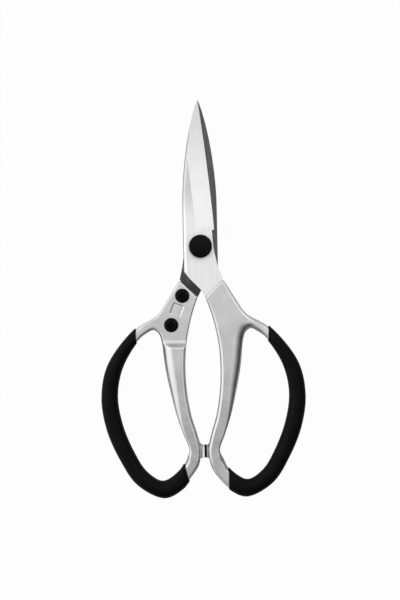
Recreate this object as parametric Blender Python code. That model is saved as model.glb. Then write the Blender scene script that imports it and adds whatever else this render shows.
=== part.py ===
"""Garden shears: two cast handles with rubber grips, two ground blades and a screwed pivot.

The shears lie flat. +Z is up, +Y runs to the tips and +X to the right-hand finger loop.
The origin is on the pivot's axis, in the plane that the handles and the bolt head rest on.
Both halves share one design. It is drawn once, with its handle on +X, its blade just above
the plane where the blades slide and its screw heads below. The left half is the same design
turned half a turn about Y. Lengths are in metres.
"""

import math

import bmesh
import bpy
from mathutils import Vector

# Gaps
TOUCH = 0.0003            # between pieces that rest on each other
RUNNING = 0.00015         # round the pivot shank, in the blade that turns on it
SLEEVE_GAP = 0.00035      # between a grip and the strut inside it

# Blade
BLADE_THICKNESS = 0.0026
BLADE_TIP = 0.0771        # from the pivot to the tip
SPINE_HALF = 0.00905      # from the middle to the straight part of the spine
SPINE_STRAIGHT_TO = 0.0210
SPINE_POWER = 1.8
SPINE_ROUNDNESS = 0.82
SPINE_ROUND = 0.0018
EDGE_BREAK = 0.00015      # small bevel along every other edge of the face
EDGE_END = 0.0088         # where the ground edge stops above the pivot
EDGE_REACH = 0.0074       # how far the edge stands across the middle there
EDGE_BULGE = 0.28
NOTCH = 0.0012            # step from the edge to the unground side
GRIND_START = (-0.0016, 0.0091)     # lower end of the line where the bevel begins
GRIND_HIGHER = (-0.0052, 0.0454)    # another point of that line
GRIND_ANGLE = math.radians(14.5)
HEEL_CHAMFER = 0.00065    # width of the corner cut off below the straight spine
HEEL = ((-SPINE_HALF, -0.0120), (HEEL_CHAMFER - SPINE_HALF, -0.0137),
        (0.0001, -0.0231), (0.0010, -0.0248))
RICASSO = ((0.0091, -0.0109), (0.0071, -0.0017))

# Handle
HANDLE_HALF = 0.0053      # half the thickness of plate and inner branch
SCREW_PLATE = 0.0030      # level of the lowered plate that carries the screw heads
STEP_FOOT = -0.0495       # where the lowered plate begins to rise to the branch
STEP_HOLLOW = 0.0036      # radius of the hollow rounding there
STEP_SLOPE = math.radians(60)       # its steepest slope, which goes on to the branch's face
SCREW_PLATE_REACH = 0.0316  # how far it goes along the shoulder
PLATE_CORNER = (0.0114, -0.0173)
PLATE_CORNER_RADIUS = 0.0013
THROAT_CORNER_RADIUS = 0.0012
EDGE_ROUND = 0.0018       # rounding of the outer edge
SEAT_ROUND = 0.0011       # the same beside the blade
FINGER_ROUND = 0.0050     # rounding towards the finger hole, across and down
FINGER_ROUND_DEPTH = 0.0044
RECESS_WIDTH = 0.0065
RECESS_LENGTH = 0.0069
RECESS_RADIUS = 0.0011
RECESS_DEPTH = 0.0006
RECESS_SHIFT = -0.0002    # from the middle between the screws, towards the throat
STEP = 0.0044             # spacing of the points along the outline

# Points of the outer edge from the throat round the loop to the shoulder. The third value
# is the place on the finger hole that lies across from each, in knots of FINGER_HOLE.
OUTER_EDGE = (
    (0.0020, -0.0267, -1.40), (0.0031, -0.0296, -1.20), (0.00515, -0.0357, -0.90),
    (0.0069, -0.0426, -0.50), (0.0085, -0.0515, 0.00), (0.00925, -0.0640, 1.00),
    (0.0086, -0.0768, 2.00), (0.0065, -0.0894, 3.00), (0.0037, -0.0988, 4.00),
    (0.0024, -0.1074, 5.00), (0.0036, -0.1156, 5.60), (0.0076, -0.1225, 6.15),
    (0.0122, -0.1278, 6.60), (0.0215, -0.1319, 7.90), (0.0355, -0.1249, 9.00),
    (0.0446, -0.1114, 10.00), (0.0514, -0.0950, 11.00), (0.0537, -0.0779, 12.00),
    (0.0499, -0.0608, 13.00), (0.0350, -0.0421, 14.00), (0.0286, -0.0389, 15.00),
    (0.0236, -0.0359, 15.60), (0.0208, -0.0326, 16.00),
)
PLATE_CORNER_PLACE = 17.10
FINGER_HOLE = (
    (0.0211, -0.0515), (0.0197, -0.0640), (0.0171, -0.0768), (0.0140, -0.0894),
    (0.0108, -0.0988), (0.0080, -0.1072), (0.0103, -0.1126), (0.0143, -0.1182),
    (0.0223, -0.1228), (0.0306, -0.1177), (0.0370, -0.1074), (0.0428, -0.0926),
    (0.0450, -0.0776), (0.0422, -0.0634), (0.0345, -0.0503), (0.0284, -0.0446),
    (0.0254, -0.0435), (0.0228, -0.0454), (0.0216, -0.0484),
)

# The loop and its grip. Places are knots of OUTER_EDGE.
GRIP_LOW = 12.0
GRIP_HIGH = 19.0
GRIP_LOW_TAPER = 0.7
GRIP_HIGH_TAPER = 0.3
GRIP_HALF = 0.0048
GRIP_WALL = 0.0017
GRIP_LIP = 0.0004         # wall of a grip at its ends
STRUT_HALF = 0.0024       # half thickness of the casting inside a grip
STRUT_ROUND = 0.0020
SEAT_HALF = 0.0030        # half thickness of the casting where a grip ends
STOP_BRANCH_HALF = 0.0041
BRANCH_FULL_TO = 5.0
STOP_PLACE = 9.5
SHOULDER_FULL_FROM = 21.4

# Screws through the tang
SCREW_TOP = (0.01006, -0.0257)
SCREW_SPACING = 0.0164
SCREW_LEAN = math.radians(21.8)
SCREW_SHANK = 0.0019
SCREW_HEAD = 0.00375
SCREW_HEAD_HEIGHT = 0.0019
SCREW_SKIN = 0.0007       # metal left over the blind end of its hole
CROSS_WIDTH = 0.0011
CROSS_LENGTH = 0.0042
CROSS_DEPTH = 0.0011
TANG_HALF = 0.0033        # half width of the tongue inside the handle
TANG_PAST_SCREW = 0.0046

# Stop between the handles
STOP_TOP = -0.1044
STOP_BOTTOM = -0.1110
STOP_HALF = 0.0030
STOP_FILLET = 0.0040
STOP_ROOT = 0.0048        # how far the lugs reach into the casting
STOP_EDGE = 0.0030        # where the hollow rounding runs out on the branch
LEFT_STOP_FACE = 0.00045  # from the middle to the left lug
BUFFER_THICKNESS = 0.0008
BUFFER_BORDER = 0.0005
BUFFER_STEM = 0.0010
BUFFER_STEM_LENGTH = 0.0020

# Pivot
BOLT_SHANK = 0.0025
BOLT_SQUARE = 0.0031      # half the width of the square neck
BOLT_HEAD = 0.0060
BOLT_HEAD_BEVEL = 0.0006
BOLT_PAST_NUT = 0.0002
WASHER_RADIUS = 0.0044
WASHER_THICKNESS = 0.0004
WASHER_CONE = 0.0002
NUT_HALF = 0.0040         # half the width across its flats
NUT_HEIGHT = 0.0020
CAP_RADIUS = 0.00605
CAP_ROOF = 0.0007
CAP_CROWN = 0.0008
CAP_EDGE = 0.0006

# Levels above the plane in which the blades slide, and that plane above the rest plane
BLADE_LOW = TOUCH / 2
BLADE_HIGH = BLADE_LOW + BLADE_THICKNESS
SLIDE_PLANE = HANDLE_HALF
SIDES = 24                # of small round pieces; a multiple of 24 holds square and hexagon

COLOURS = {
    "cast_aluminium": ((0.50, 0.51, 0.52), 0.42, 1.0),
    "blade_steel": ((0.80, 0.80, 0.81), 0.25, 1.0),
    "grip_rubber": ((0.012, 0.012, 0.013), 0.55, 0.0),
    "black_steel": ((0.020, 0.020, 0.020), 0.35, 0.6),
    "black_plastic": ((0.015, 0.015, 0.016), 0.40, 0.0),
    "bright_steel": ((0.55, 0.55, 0.56), 0.35, 1.0),
}


def material(name):
    """The material of that name, made on first use."""
    made = bpy.data.materials.get(name)
    if made is None:
        made = bpy.data.materials.new(name)
        made.use_nodes = True
        colour, roughness, metallic = COLOURS[name]
        shader = made.node_tree.nodes["Principled BSDF"]
        shader.inputs["Base Color"].default_value = (*colour, 1.0)
        shader.inputs["Roughness"].default_value = roughness
        shader.inputs["Metallic"].default_value = metallic
    return made


def place(name, bm, parent, finish=None, at=(0.0, 0.0, 0.0)):
    """An object from a mesh under construction; without a finish it is a cutter."""
    bmesh.ops.recalc_face_normals(bm, faces=bm.faces)
    mesh = bpy.data.meshes.new(name)
    bm.to_mesh(mesh)
    bm.free()
    made = bpy.data.objects.new(name, mesh)
    bpy.context.scene.collection.objects.link(made)
    made.parent = parent
    made.location = at
    if finish is None:
        made.hide_render = True
        made.display_type = "WIRE"
    else:
        mesh.materials.append(material(finish))
        mesh.shade_smooth()
        mesh.set_sharp_from_angle(angle=math.radians(32))
    return made


def boolean(target, cutter, operation="DIFFERENCE"):
    """Cut a hidden object out of a piece, or join it on."""
    step = target.modifiers.new(cutter.name, "BOOLEAN")
    step.operation = operation
    step.object = cutter
    step.solver = "EXACT"


def skin(rings, closed):
    """A closed skin over rings of equally many points; its ends are joined or capped."""
    bm = bmesh.new()
    loops = [[bm.verts.new(point) for point in ring] for ring in rings]
    pairs = list(zip(loops, loops[1:]))
    if closed:
        pairs.append((loops[-1], loops[0]))
    else:
        bm.faces.new(loops[0])
        bm.faces.new(loops[-1])
    count = len(loops[0])
    for low, high in pairs:
        for i in range(count):
            j = (i + 1) % count
            bm.faces.new((low[i], low[j], high[j], high[i]))
    return bm


def circle(radius, z):
    """A ring of points on a circle."""
    return polygon(radius, z, 0)


def polygon(inner, z, corners):
    """A ring of points on a regular polygon, given the radius of its inner circle."""
    ring = []
    for i in range(SIDES):
        angle = 2 * math.pi * i / SIDES
        reach = inner
        if corners:
            sector = 2 * math.pi / corners
            reach = inner / math.cos((angle + sector / 2) % sector - sector / 2)
        ring.append((reach * math.cos(angle), reach * math.sin(angle), z))
    return ring


def prism(outline, low, high):
    """A straight-sided solid over an outline."""
    return skin([[(x, y, low) for x, y in outline], [(x, y, high) for x, y in outline]], False)


def smooth_point(points, knot, closed):
    """A point of the smooth curve through the points, at a place counted in knots."""
    count = len(points)
    first = math.floor(knot)
    if not closed:
        first = min(max(first, 0), count - 2)
    part = knot - first
    if closed:
        p = [Vector(points[(first + i) % count][:2]) for i in (-1, 0, 1, 2)]
    else:
        inner = [Vector(point[:2]) for point in points]
        inner = [2 * inner[0] - inner[1]] + inner + [2 * inner[-1] - inner[-2]]
        p = inner[first:first + 4]
    t = [0.0]
    for a, b in zip(p, p[1:]):
        t.append(t[-1] + math.sqrt((b - a).length))
    at = t[1] + part * (t[2] - t[1])

    def blend(a, b, start, end):
        return ((end - at) * a + (at - start) * b) / (end - start)

    q = [blend(p[i], p[i + 1], t[i], t[i + 1]) for i in range(3)]
    r = [blend(q[i], q[i + 1], t[i], t[i + 2]) for i in range(2)]
    return blend(r[0], r[1], t[1], t[2])


def ramp(at, stops):
    """A value that eases from stop to stop, each a place and a value."""
    if at <= stops[0][0]:
        return stops[0][1]
    for (a, low), (b, high) in zip(stops, stops[1:]):
        if at <= b:
            part = (at - a) / (b - a)
            return low + (high - low) * part * part * (3 - 2 * part)
    return stops[-1][1]


def rounded_corner(before, corner, after, radius, steps=3):
    """Points of the arc that rounds a corner."""
    corner = Vector(corner)
    to_before = (Vector(before) - corner).normalized()
    to_after = (Vector(after) - corner).normalized()
    half = to_before.angle(to_after) / 2
    centre = corner + (to_before + to_after).normalized() * (radius / math.sin(half))
    start = corner + to_before * (radius / math.tan(half)) - centre
    end = corner + to_after * (radius / math.tan(half)) - centre
    turn = start.angle_signed(end)
    points = []
    for i in range(steps + 1):
        angle = -turn * i / steps
        x = start.x * math.cos(angle) - start.y * math.sin(angle)
        y = start.x * math.sin(angle) + start.y * math.cos(angle)
        points.append(centre + Vector((x, y)))
    return points


def outer_contour():
    """Points of the handle's outer edge, with the knot of each and its place on the hole."""
    last = len(OUTER_EDGE) - 1
    rows = []
    for first in range(last):
        start = smooth_point(OUTER_EDGE, first, False)
        end = smooth_point(OUTER_EDGE, first + 1, False)
        count = max(1, round((end - start).length / STEP))
        for i in range(count):
            knot = first + i / count
            across = OUTER_EDGE[first][2]
            across += (OUTER_EDGE[first + 1][2] - across) * i / count
            rows.append((smooth_point(OUTER_EDGE, knot, False), knot, across))
    shoulder, throat = OUTER_EDGE[last][:2], OUTER_EDGE[0][:2]
    rows.append((Vector(shoulder), last, OUTER_EDGE[last][2]))
    middle = (Vector(shoulder) + Vector(PLATE_CORNER)) / 2
    rows.append((middle, last + 0.5, (OUTER_EDGE[last][2] + PLATE_CORNER_PLACE) / 2))
    corner = rounded_corner(shoulder, PLATE_CORNER, throat, PLATE_CORNER_RADIUS)
    for i, point in enumerate(corner):
        rows.append((point, last + 1, PLATE_CORNER_PLACE + 0.04 * i))
    throat_corner = rounded_corner(PLATE_CORNER, throat, rows[1][0], THROAT_CORNER_RADIUS)
    around = len(FINGER_HOLE) + OUTER_EDGE[0][2]
    for i, point in enumerate(throat_corner):
        rows.append((point, 0.0, around + 0.02 * (i - len(throat_corner) + 1)))
    return rows[1:]


def inward(points):
    """Unit normals on the left of a closed line of points, stretched where it bends."""
    count = len(points)
    normals = []
    for i in range(count):
        before = (points[i] - points[i - 1]).normalized()
        after = (points[(i + 1) % count] - points[i]).normalized()
        mean = Vector((-before.y - after.y, before.x + after.x)).normalized()
        normals.append(mean / max(0.5, mean.dot(Vector((-after.y, after.x)))))
    return normals


class Loop:
    """The stations round the handle, each with its two silhouette points.

    Roundings run square to the edge on the plate and straight across on the strut.
    """

    def __init__(self):
        rows = outer_contour()
        self.knots = [row[1] for row in rows]
        self.outer = [row[0] for row in rows]
        self.hole = [smooth_point(FINGER_HOLE, row[2], True) for row in rows]
        square = zip(inward(self.outer), inward(self.hole))
        self.outer_normals, self.hole_normals = [], []
        for i, (outer, hole) in enumerate(square):
            strut = ramp(self.knots[i], ((GRIP_LOW - 2, 0), (GRIP_LOW - 0.5, 1),
                                         (GRIP_HIGH + 0.5, 1), (GRIP_HIGH + 2, 0)))
            across = (self.hole[i] - self.outer[i]).normalized()
            self.outer_normals.append(outer.lerp(across, strut))
            self.hole_normals.append((-hole).lerp(-across, strut))

    def section(self, i, inset, half, outer_round, hole_round, hole_depth):
        """Ring of points round the casting at a station: both edges are quarter ellipses."""
        width = (self.outer[i] - self.hole[i]).length - 2 * inset
        share = min(1.0, 0.97 * width / (outer_round + hole_round))
        edges = (
            (self.outer[i], self.outer_normals[i], outer_round * share,
             min(outer_round, 0.85 * half), (0, 45, 90)),
            (self.hole[i], self.hole_normals[i], hole_round * share,
             min(hole_depth, 0.85 * half), (90, 60, 30, 0)),
        )
        top = []
        for point, normal, across, down, angles in edges:
            for degrees in angles:
                angle = math.radians(degrees)
                spot = point + normal * (inset + across * (1 - math.cos(angle)))
                top.append((spot.x, spot.y, half - down * (1 - math.sin(angle))))
        return top + [(x, y, -z) for x, y, z in reversed(top)]


LOW_END = GRIP_LOW + GRIP_LOW_TAPER
HIGH_END = GRIP_HIGH - GRIP_HIGH_TAPER


def casting_inset(knot):
    """How far the casting lies inside the silhouette, which the grip makes where it is."""
    lip = GRIP_LIP + SLEEVE_GAP
    wall = GRIP_WALL + SLEEVE_GAP
    return ramp(knot, ((GRIP_LOW - 1.5, 0.0), (GRIP_LOW, lip), (LOW_END, wall),
                       (HIGH_END, wall), (GRIP_HIGH, lip), (GRIP_HIGH + 1.0, 0.0)))


def casting_half(knot):
    """Half the thickness of the casting."""
    return ramp(knot, ((BRANCH_FULL_TO, HANDLE_HALF), (STOP_PLACE, STOP_BRANCH_HALF),
                       (GRIP_LOW, SEAT_HALF), (LOW_END, STRUT_HALF), (HIGH_END, STRUT_HALF),
                       (GRIP_HIGH, SEAT_HALF), (GRIP_HIGH + 1.0, SEAT_HALF),
                       (SHOULDER_FULL_FROM, HANDLE_HALF)))


def edge_round(knot):
    """Rounding of the casting's outer edge."""
    return ramp(knot, ((0.0, SEAT_ROUND), (1.6, EDGE_ROUND), (STOP_PLACE, EDGE_ROUND),
                       (GRIP_LOW, STRUT_ROUND), (GRIP_HIGH + 1.0, STRUT_ROUND),
                       (SHOULDER_FULL_FROM, EDGE_ROUND), (22.4, EDGE_ROUND),
                       (23.0, SEAT_ROUND)))


def finger_round(knot, full):
    """Rounding of the casting towards the finger hole, across or down."""
    return ramp(knot, ((STOP_PLACE, full), (LOW_END, STRUT_ROUND),
                       (GRIP_HIGH, STRUT_ROUND), (SHOULDER_FULL_FROM, full)))


def casting_section(loop, i, grow=0.0):
    """Ring round the casting at a station, or round the bore that is left for it."""
    knot = loop.knots[i]
    return loop.section(i, casting_inset(knot) - grow, casting_half(knot) + grow,
                        edge_round(knot) + grow, finger_round(knot, FINGER_ROUND) + grow,
                        finger_round(knot, FINGER_ROUND_DEPTH) + grow)


def grip_section(loop, i):
    """Ring round the outside of the grip at a station, which follows the casting at its ends."""
    knot = loop.knots[i]
    lip = SLEEVE_GAP + GRIP_LIP
    full = ramp(knot, ((GRIP_LOW, 0.0), (LOW_END, 1.0), (HIGH_END, 1.0), (GRIP_HIGH, 0.0)))

    def swell(at_end):
        return (at_end + lip) * (1 - full) + GRIP_HALF * full

    return loop.section(i, 0.0, swell(SEAT_HALF), swell(edge_round(knot)),
                        swell(finger_round(knot, FINGER_ROUND)),
                        swell(finger_round(knot, FINGER_ROUND_DEPTH)))


def screw_direction():
    """Direction of the line through the two tang screws, away from the pivot."""
    return Vector((math.sin(SCREW_LEAN), -math.cos(SCREW_LEAN)))


def screw_places():
    """Centres of the two tang screws."""
    top = Vector(SCREW_TOP)
    return top, top + screw_direction() * SCREW_SPACING


def tang_strip(half, past, out):
    """Corners of a strip along the screws: its width, and how far it runs at each end."""
    top, low = screw_places()
    down = screw_direction()
    side = Vector((-down.y, down.x)) * half
    start, end = top - down * out, low + down * past
    return [start - side, end - side, end + side, start + side]


def seat_line():
    """Ends of the edge where the blade's shoulders meet the handle, a gap clear of it."""
    throat, corner = Vector(OUTER_EDGE[0][:2]), Vector(PLATE_CORNER)
    run = (corner - throat).normalized()
    off = Vector((-run.y, run.x)) * TOUCH
    return throat + off, corner + off


def crossing(a, b, c, d):
    """Where the line through a and b meets the line through c and d."""
    along, other = b - a, d - c
    return a + along * ((c - a).cross(other) / along.cross(other))


def blade_outline():
    """Points of the blade's outline and how much the edge of its face is rounded at each."""
    rows = [((0.0, BLADE_TIP), EDGE_BREAK)]
    count = 11
    for i in range(1, count + 1):
        up = math.cos(math.pi / 2 * i / count)
        y = SPINE_STRAIGHT_TO + (BLADE_TIP - SPINE_STRAIGHT_TO) * up
        reach = SPINE_HALF * (1 - up ** SPINE_POWER) ** SPINE_ROUNDNESS
        rows.append(((-reach, y), min(SPINE_ROUND, 0.3 * reach)))
    rows.append((HEEL[0], SPINE_ROUND))
    rows.append((HEEL[1], SPINE_ROUND))
    rows += [(point, EDGE_BREAK) for point in HEEL[2:]]
    start, end = seat_line()
    left_top, left_low, right_low, right_top = tang_strip(TANG_HALF, TANG_PAST_SCREW, 0.0)
    rows.append((start, EDGE_BREAK))
    rows.append((crossing(left_top, left_low, start, end), EDGE_BREAK))
    rows.append((left_low, EDGE_BREAK))
    rows.append((right_low, EDGE_BREAK))
    rows.append((crossing(right_top, right_low, start, end), EDGE_BREAK))
    rows.append((end, EDGE_BREAK))
    rows += [(point, EDGE_BREAK) for point in RICASSO]
    rows.append(((EDGE_REACH - NOTCH, EDGE_END - NOTCH / 2), EDGE_BREAK))
    rows.append(((EDGE_REACH, EDGE_END), EDGE_BREAK))
    count = 8
    for i in range(1, count):
        part = i / count
        y = EDGE_END + (BLADE_TIP - EDGE_END) * part
        reach = EDGE_REACH * (1 - part) * (1 + EDGE_BULGE * part)
        rows.append(((reach, y), EDGE_BREAK))
    return [Vector(point) for point, _ in rows], [bevel for _, bevel in rows]


def blade_solid():
    """The blade before grinding and drilling, with its spine rounded on one face."""
    points, bevels = blade_outline()
    normals = inward(points)
    rings = [[(p.x, p.y, BLADE_LOW) for p in points]]
    for degrees in (0, 45, 90):
        angle = math.radians(degrees)
        ring = []
        for point, normal, bevel in zip(points, normals, bevels):
            spot = point + normal * bevel * (1 - math.cos(angle))
            ring.append((spot.x, spot.y, BLADE_HIGH - bevel * (1 - math.sin(angle))))
        rings.append(ring)
    return skin(rings, False)


def grind_solid():
    """What the wheel takes off: all above a plane that falls from its line to the edge."""
    start, higher = Vector(GRIND_START), Vector(GRIND_HIGHER)
    up = (higher - start).normalized()
    across = Vector((up.y, -up.x))
    wide, tall = 2 * SPINE_HALF, BLADE_TIP
    rings = []
    for run in (0.0, tall):
        a = start + up * run
        b = a + across * wide
        low = BLADE_HIGH - wide * math.tan(GRIND_ANGLE)
        back = a - across * wide
        lift = BLADE_HIGH + wide * math.tan(GRIND_ANGLE)
        rings.append([(back.x, back.y, lift), (b.x, b.y, low), (b.x, b.y, lift)])
    return skin(rings, False)


def stop_lug(face):
    """A lug on the inner branch with a hollow rounding above it."""
    root = STOP_ROOT
    points = [(root, STOP_BOTTOM), (root, STOP_TOP + STOP_FILLET)]
    steps = 4
    for i in range(steps + 1):
        angle = math.pi / 2 * i / steps
        points.append((face + (STOP_EDGE - face) * math.cos(angle),
                       STOP_TOP + STOP_FILLET * (1 - math.sin(angle))))
    points.append((face, STOP_BOTTOM))
    return prism(points, -STOP_HALF, STOP_HALF)


def plate_solid(deep):
    """What is left off above the lowered plate: it ends in a hollow rounding and a slope."""
    profile = [(0.0, -deep), (0.0, -SCREW_PLATE)]
    steps = 4
    for i in range(steps + 1):
        angle = STEP_SLOPE * i / steps
        profile.append((STEP_FOOT - STEP_HOLLOW * math.sin(angle),
                        -SCREW_PLATE - STEP_HOLLOW * (1 - math.cos(angle))))
    y, z = profile[-1]
    profile.append((y - (deep + z) / math.tan(STEP_SLOPE), -deep))
    return skin([[(x, y, z) for y, z in profile] for x in (0.0, SCREW_PLATE_REACH)], False)


def rounded_box(centre, along, length, width, radius):
    """Corners of a rounded rectangle laid along a direction."""
    side = Vector((-along.y, along.x))
    corners = [centre + along * (a * length / 2) + side * (b * width / 2)
               for a, b in ((-1, -1), (1, -1), (1, 1), (-1, 1))]
    points = []
    for i in range(4):
        points += rounded_corner(corners[i - 1], corners[i], corners[(i + 1) % 4], radius)
    return points


def cut_handle(handle, name, parent, stop_face):
    """Give a casting its lug, lowered plate, tang pocket, recess and screw holes."""
    depth = HANDLE_HALF + 0.001
    lug = place(name + "_lug", stop_lug(stop_face), parent)
    boolean(handle, lug, "UNION")
    boolean(handle, place(name + "_plate", plate_solid(depth), parent))
    strip = tang_strip(TANG_HALF + TOUCH, TANG_PAST_SCREW + TOUCH, SCREW_SPACING)
    pocket = prism(strip, BLADE_LOW - TOUCH, BLADE_HIGH + TOUCH)
    boolean(handle, place(name + "_pocket", pocket, parent))
    top, low = screw_places()
    middle = (top + low) / 2 + screw_direction() * RECESS_SHIFT
    rim = rounded_box(middle, screw_direction(), RECESS_LENGTH, RECESS_WIDTH, RECESS_RADIUS)
    recess = prism(rim, -depth, RECESS_DEPTH - SCREW_PLATE)
    boolean(handle, place(name + "_recess", recess, parent))
    bore = SCREW_SHANK + TOUCH
    for i, spot in enumerate((top, low)):
        hole = skin([circle(bore, -depth), circle(bore, HANDLE_HALF - SCREW_SKIN)], False)
        label = "%s_screw_hole_%d" % (name, i)
        boolean(handle, place(label, hole, parent, at=(spot.x, spot.y, 0.0)))


def drill_tang(blade, name, parent):
    """Open the two screw holes of a blade's tang."""
    bore = SCREW_SHANK + TOUCH
    for i, spot in enumerate(screw_places()):
        hole = skin([circle(bore, -TOUCH), circle(bore, BLADE_HIGH + TOUCH)], False)
        label = "%s_tang_hole_%d" % (name, i)
        boolean(blade, place(label, hole, parent, at=(spot.x, spot.y, 0.0)))


def tang_screw(name, parent, spot):
    """A round-headed screw with a cross recess, its head below and its end upwards."""
    tip = HANDLE_HALF - SCREW_SKIN - TOUCH
    under = -SCREW_PLATE - TOUCH
    top = under - SCREW_HEAD_HEIGHT
    rings = [circle(SCREW_SHANK * 0.75, tip), circle(SCREW_SHANK, tip - SCREW_SHANK * 0.25),
             circle(SCREW_SHANK, under), circle(SCREW_HEAD, under),
             circle(SCREW_HEAD, under - 0.35 * SCREW_HEAD_HEIGHT),
             circle(SCREW_HEAD * 0.88, under - 0.75 * SCREW_HEAD_HEIGHT),
             circle(SCREW_HEAD * 0.62, top)]
    screw = place(name, skin(rings, False), parent, "black_steel", (spot.x, spot.y, 0.0))
    a, b = CROSS_LENGTH / 2, CROSS_WIDTH / 2
    cross = [(a, -b), (a, b), (b, b), (b, a), (-b, a), (-b, b),
             (-a, b), (-a, -b), (-b, -b), (-b, -a), (b, -a), (b, -b)]
    cutter = prism(cross, top - CROSS_DEPTH, top + CROSS_DEPTH)
    boolean(screw, place(name + "_cross", cutter, parent, at=(spot.x, spot.y, 0.0)))


def half(name, blade_name, turned, stop_face):
    """One half of the shears under an empty on the pivot's axis."""
    frame = bpy.data.objects.new(name + "_half", None)
    bpy.context.scene.collection.objects.link(frame)
    frame.location = (0.0, 0.0, SLIDE_PLANE)
    frame.rotation_euler = (0.0, math.pi if turned else 0.0, 0.0)
    loop = Loop()
    stations = range(len(loop.knots))
    rings = [casting_section(loop, i) for i in stations]
    handle = place(name + "_handle", skin(rings, True), frame, "cast_aluminium")
    cut_handle(handle, name, frame, stop_face)
    inside = [i for i in stations if GRIP_LOW <= loop.knots[i] <= GRIP_HIGH]
    rings = [grip_section(loop, i) for i in inside]
    rings += [casting_section(loop, i, SLEEVE_GAP) for i in reversed(inside)]
    place(name + "_grip", skin(rings, True), frame, "grip_rubber")
    blade = place(blade_name, blade_solid(), frame, "blade_steel")
    boolean(blade, place(blade_name + "_grind", grind_solid(), frame))
    drill_tang(blade, blade_name, frame)
    for label, spot in zip(("upper", "lower"), screw_places()):
        tang_screw("%s_screw_%s" % (name, label), frame, spot)
    return frame, handle, blade


def stop_buffer(frame, handle):
    """The pad on the right lug, its stem in the lug's socket."""
    near = TOUCH - LEFT_STOP_FACE
    far = near + BUFFER_THICKNESS
    low, high = STOP_BOTTOM + BUFFER_BORDER, STOP_TOP - BUFFER_BORDER
    deep = STOP_HALF - BUFFER_BORDER
    middle = (low + high) / 2
    ring = circle(1.0, 0.0)
    pad = [(middle + (high - low) / 2 * x / max(abs(x), abs(y)), deep * y / max(abs(x), abs(y)))
           for x, y, _ in ring]
    stem = [(middle + BUFFER_STEM * x, BUFFER_STEM * y) for x, y, _ in ring]
    rings = [[(near, y, z) for y, z in pad], [(far, y, z) for y, z in pad],
             [(far, y, z) for y, z in stem], [(far + BUFFER_STEM_LENGTH, y, z) for y, z in stem]]
    place("stop_buffer", skin(rings, False), frame, "black_plastic")
    bore = BUFFER_STEM + TOUCH
    socket = [(middle + bore * x, bore * y) for x, y, _ in ring]
    rings = [[(near, y, z) for y, z in socket],
             [(far + BUFFER_STEM_LENGTH + TOUCH, y, z) for y, z in socket]]
    boolean(handle, place("stop_socket", skin(rings, False), frame))


def pivot(rear, rear_blade, front, front_blade):
    """Bolt, spring washer, nut and cap on the pivot's axis, and the blades' bores."""
    square = BOLT_SQUARE + TOUCH
    hole = skin([polygon(square, -TOUCH, 4), polygon(square, BLADE_HIGH + TOUCH, 4)], False)
    boolean(rear_blade, place("rear_blade_bore", hole, rear))
    bore = BOLT_SHANK + RUNNING
    hole = skin([circle(bore, -TOUCH), circle(bore, BLADE_HIGH + TOUCH)], False)
    boolean(front_blade, place("front_blade_bore", hole, front))
    washer_low = BLADE_HIGH + TOUCH
    nut_low = washer_low + WASHER_CONE + WASHER_THICKNESS + TOUCH
    nut_high = nut_low + NUT_HEIGHT
    bolt_end = nut_high + BOLT_PAST_NUT
    under_head = -BLADE_HIGH - TOUCH
    rings = [circle(BOLT_HEAD - BOLT_HEAD_BEVEL, -SLIDE_PLANE),
             circle(BOLT_HEAD, -SLIDE_PLANE + BOLT_HEAD_BEVEL), circle(BOLT_HEAD, under_head),
             polygon(BOLT_SQUARE, under_head, 4), polygon(BOLT_SQUARE, -BLADE_LOW, 4),
             circle(BOLT_SHANK, -BLADE_LOW), circle(BOLT_SHANK, bolt_end - BOLT_PAST_NUT),
             circle(BOLT_SHANK - BOLT_PAST_NUT, bolt_end)]
    lift = (0.0, 0.0, SLIDE_PLANE)
    place("pivot_bolt", skin(rings, False), None, "black_steel", lift)
    hole = BOLT_SHANK + TOUCH
    rings = [circle(hole, washer_low + WASHER_CONE),
             circle(hole, washer_low + WASHER_CONE + WASHER_THICKNESS),
             circle(WASHER_RADIUS, washer_low + WASHER_THICKNESS),
             circle(WASHER_RADIUS, washer_low)]
    place("spring_washer", skin(rings, True), None, "bright_steel", lift)
    rings = [circle(hole, nut_low), circle(hole, nut_high),
             polygon(NUT_HALF, nut_high, 6), polygon(NUT_HALF, nut_low, 6)]
    place("pivot_nut", skin(rings, True), None, "bright_steel", lift)
    nut_corner = NUT_HALF / math.cos(math.pi / 6)
    inner = max(nut_corner, WASHER_RADIUS) + TOUCH
    roof = bolt_end + TOUCH
    eaves = roof + CAP_ROOF - CAP_CROWN / 2
    rings = [circle(inner * 0.6, roof), circle(inner, roof), circle(inner, washer_low),
             circle(CAP_RADIUS, washer_low), circle(CAP_RADIUS, eaves - CAP_EDGE),
             circle(CAP_RADIUS - 0.3 * CAP_EDGE, eaves - 0.3 * CAP_EDGE),
             circle(CAP_RADIUS - CAP_EDGE, eaves), circle(CAP_RADIUS * 0.6, eaves + CAP_CROWN * 0.4),
             circle(CAP_RADIUS * 0.25, eaves + CAP_CROWN / 2)]
    place("pivot_cap", skin(rings, False), None, "black_plastic", lift)


def main():
    for old in list(bpy.data.objects):
        bpy.data.objects.remove(old, do_unlink=True)
    rear, _, rear_blade = half("left", "rear_blade", True, LEFT_STOP_FACE)
    right_face = 2 * TOUCH + BUFFER_THICKNESS - LEFT_STOP_FACE
    front, right_handle, front_blade = half("right", "front_blade", False, right_face)
    stop_buffer(front, right_handle)
    pivot(rear, rear_blade, front, front_blade)


main()
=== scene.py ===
"""Garden shears dressed for looks: cast handles, rubber grips, ground blades, a capped pivot.

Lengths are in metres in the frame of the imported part: +Z is up, +Y runs to the tips and +X to
the right-hand finger loop. The origin is on the pivot's axis, in the plane that the shears lie
on. Both halves share one design. It is worked out once, with its handle on +X, its blade just
above the plane where the blades slide and its screw heads below. The left half is the same
design turned half a turn about Y.
"""

from __future__ import annotations

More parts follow.
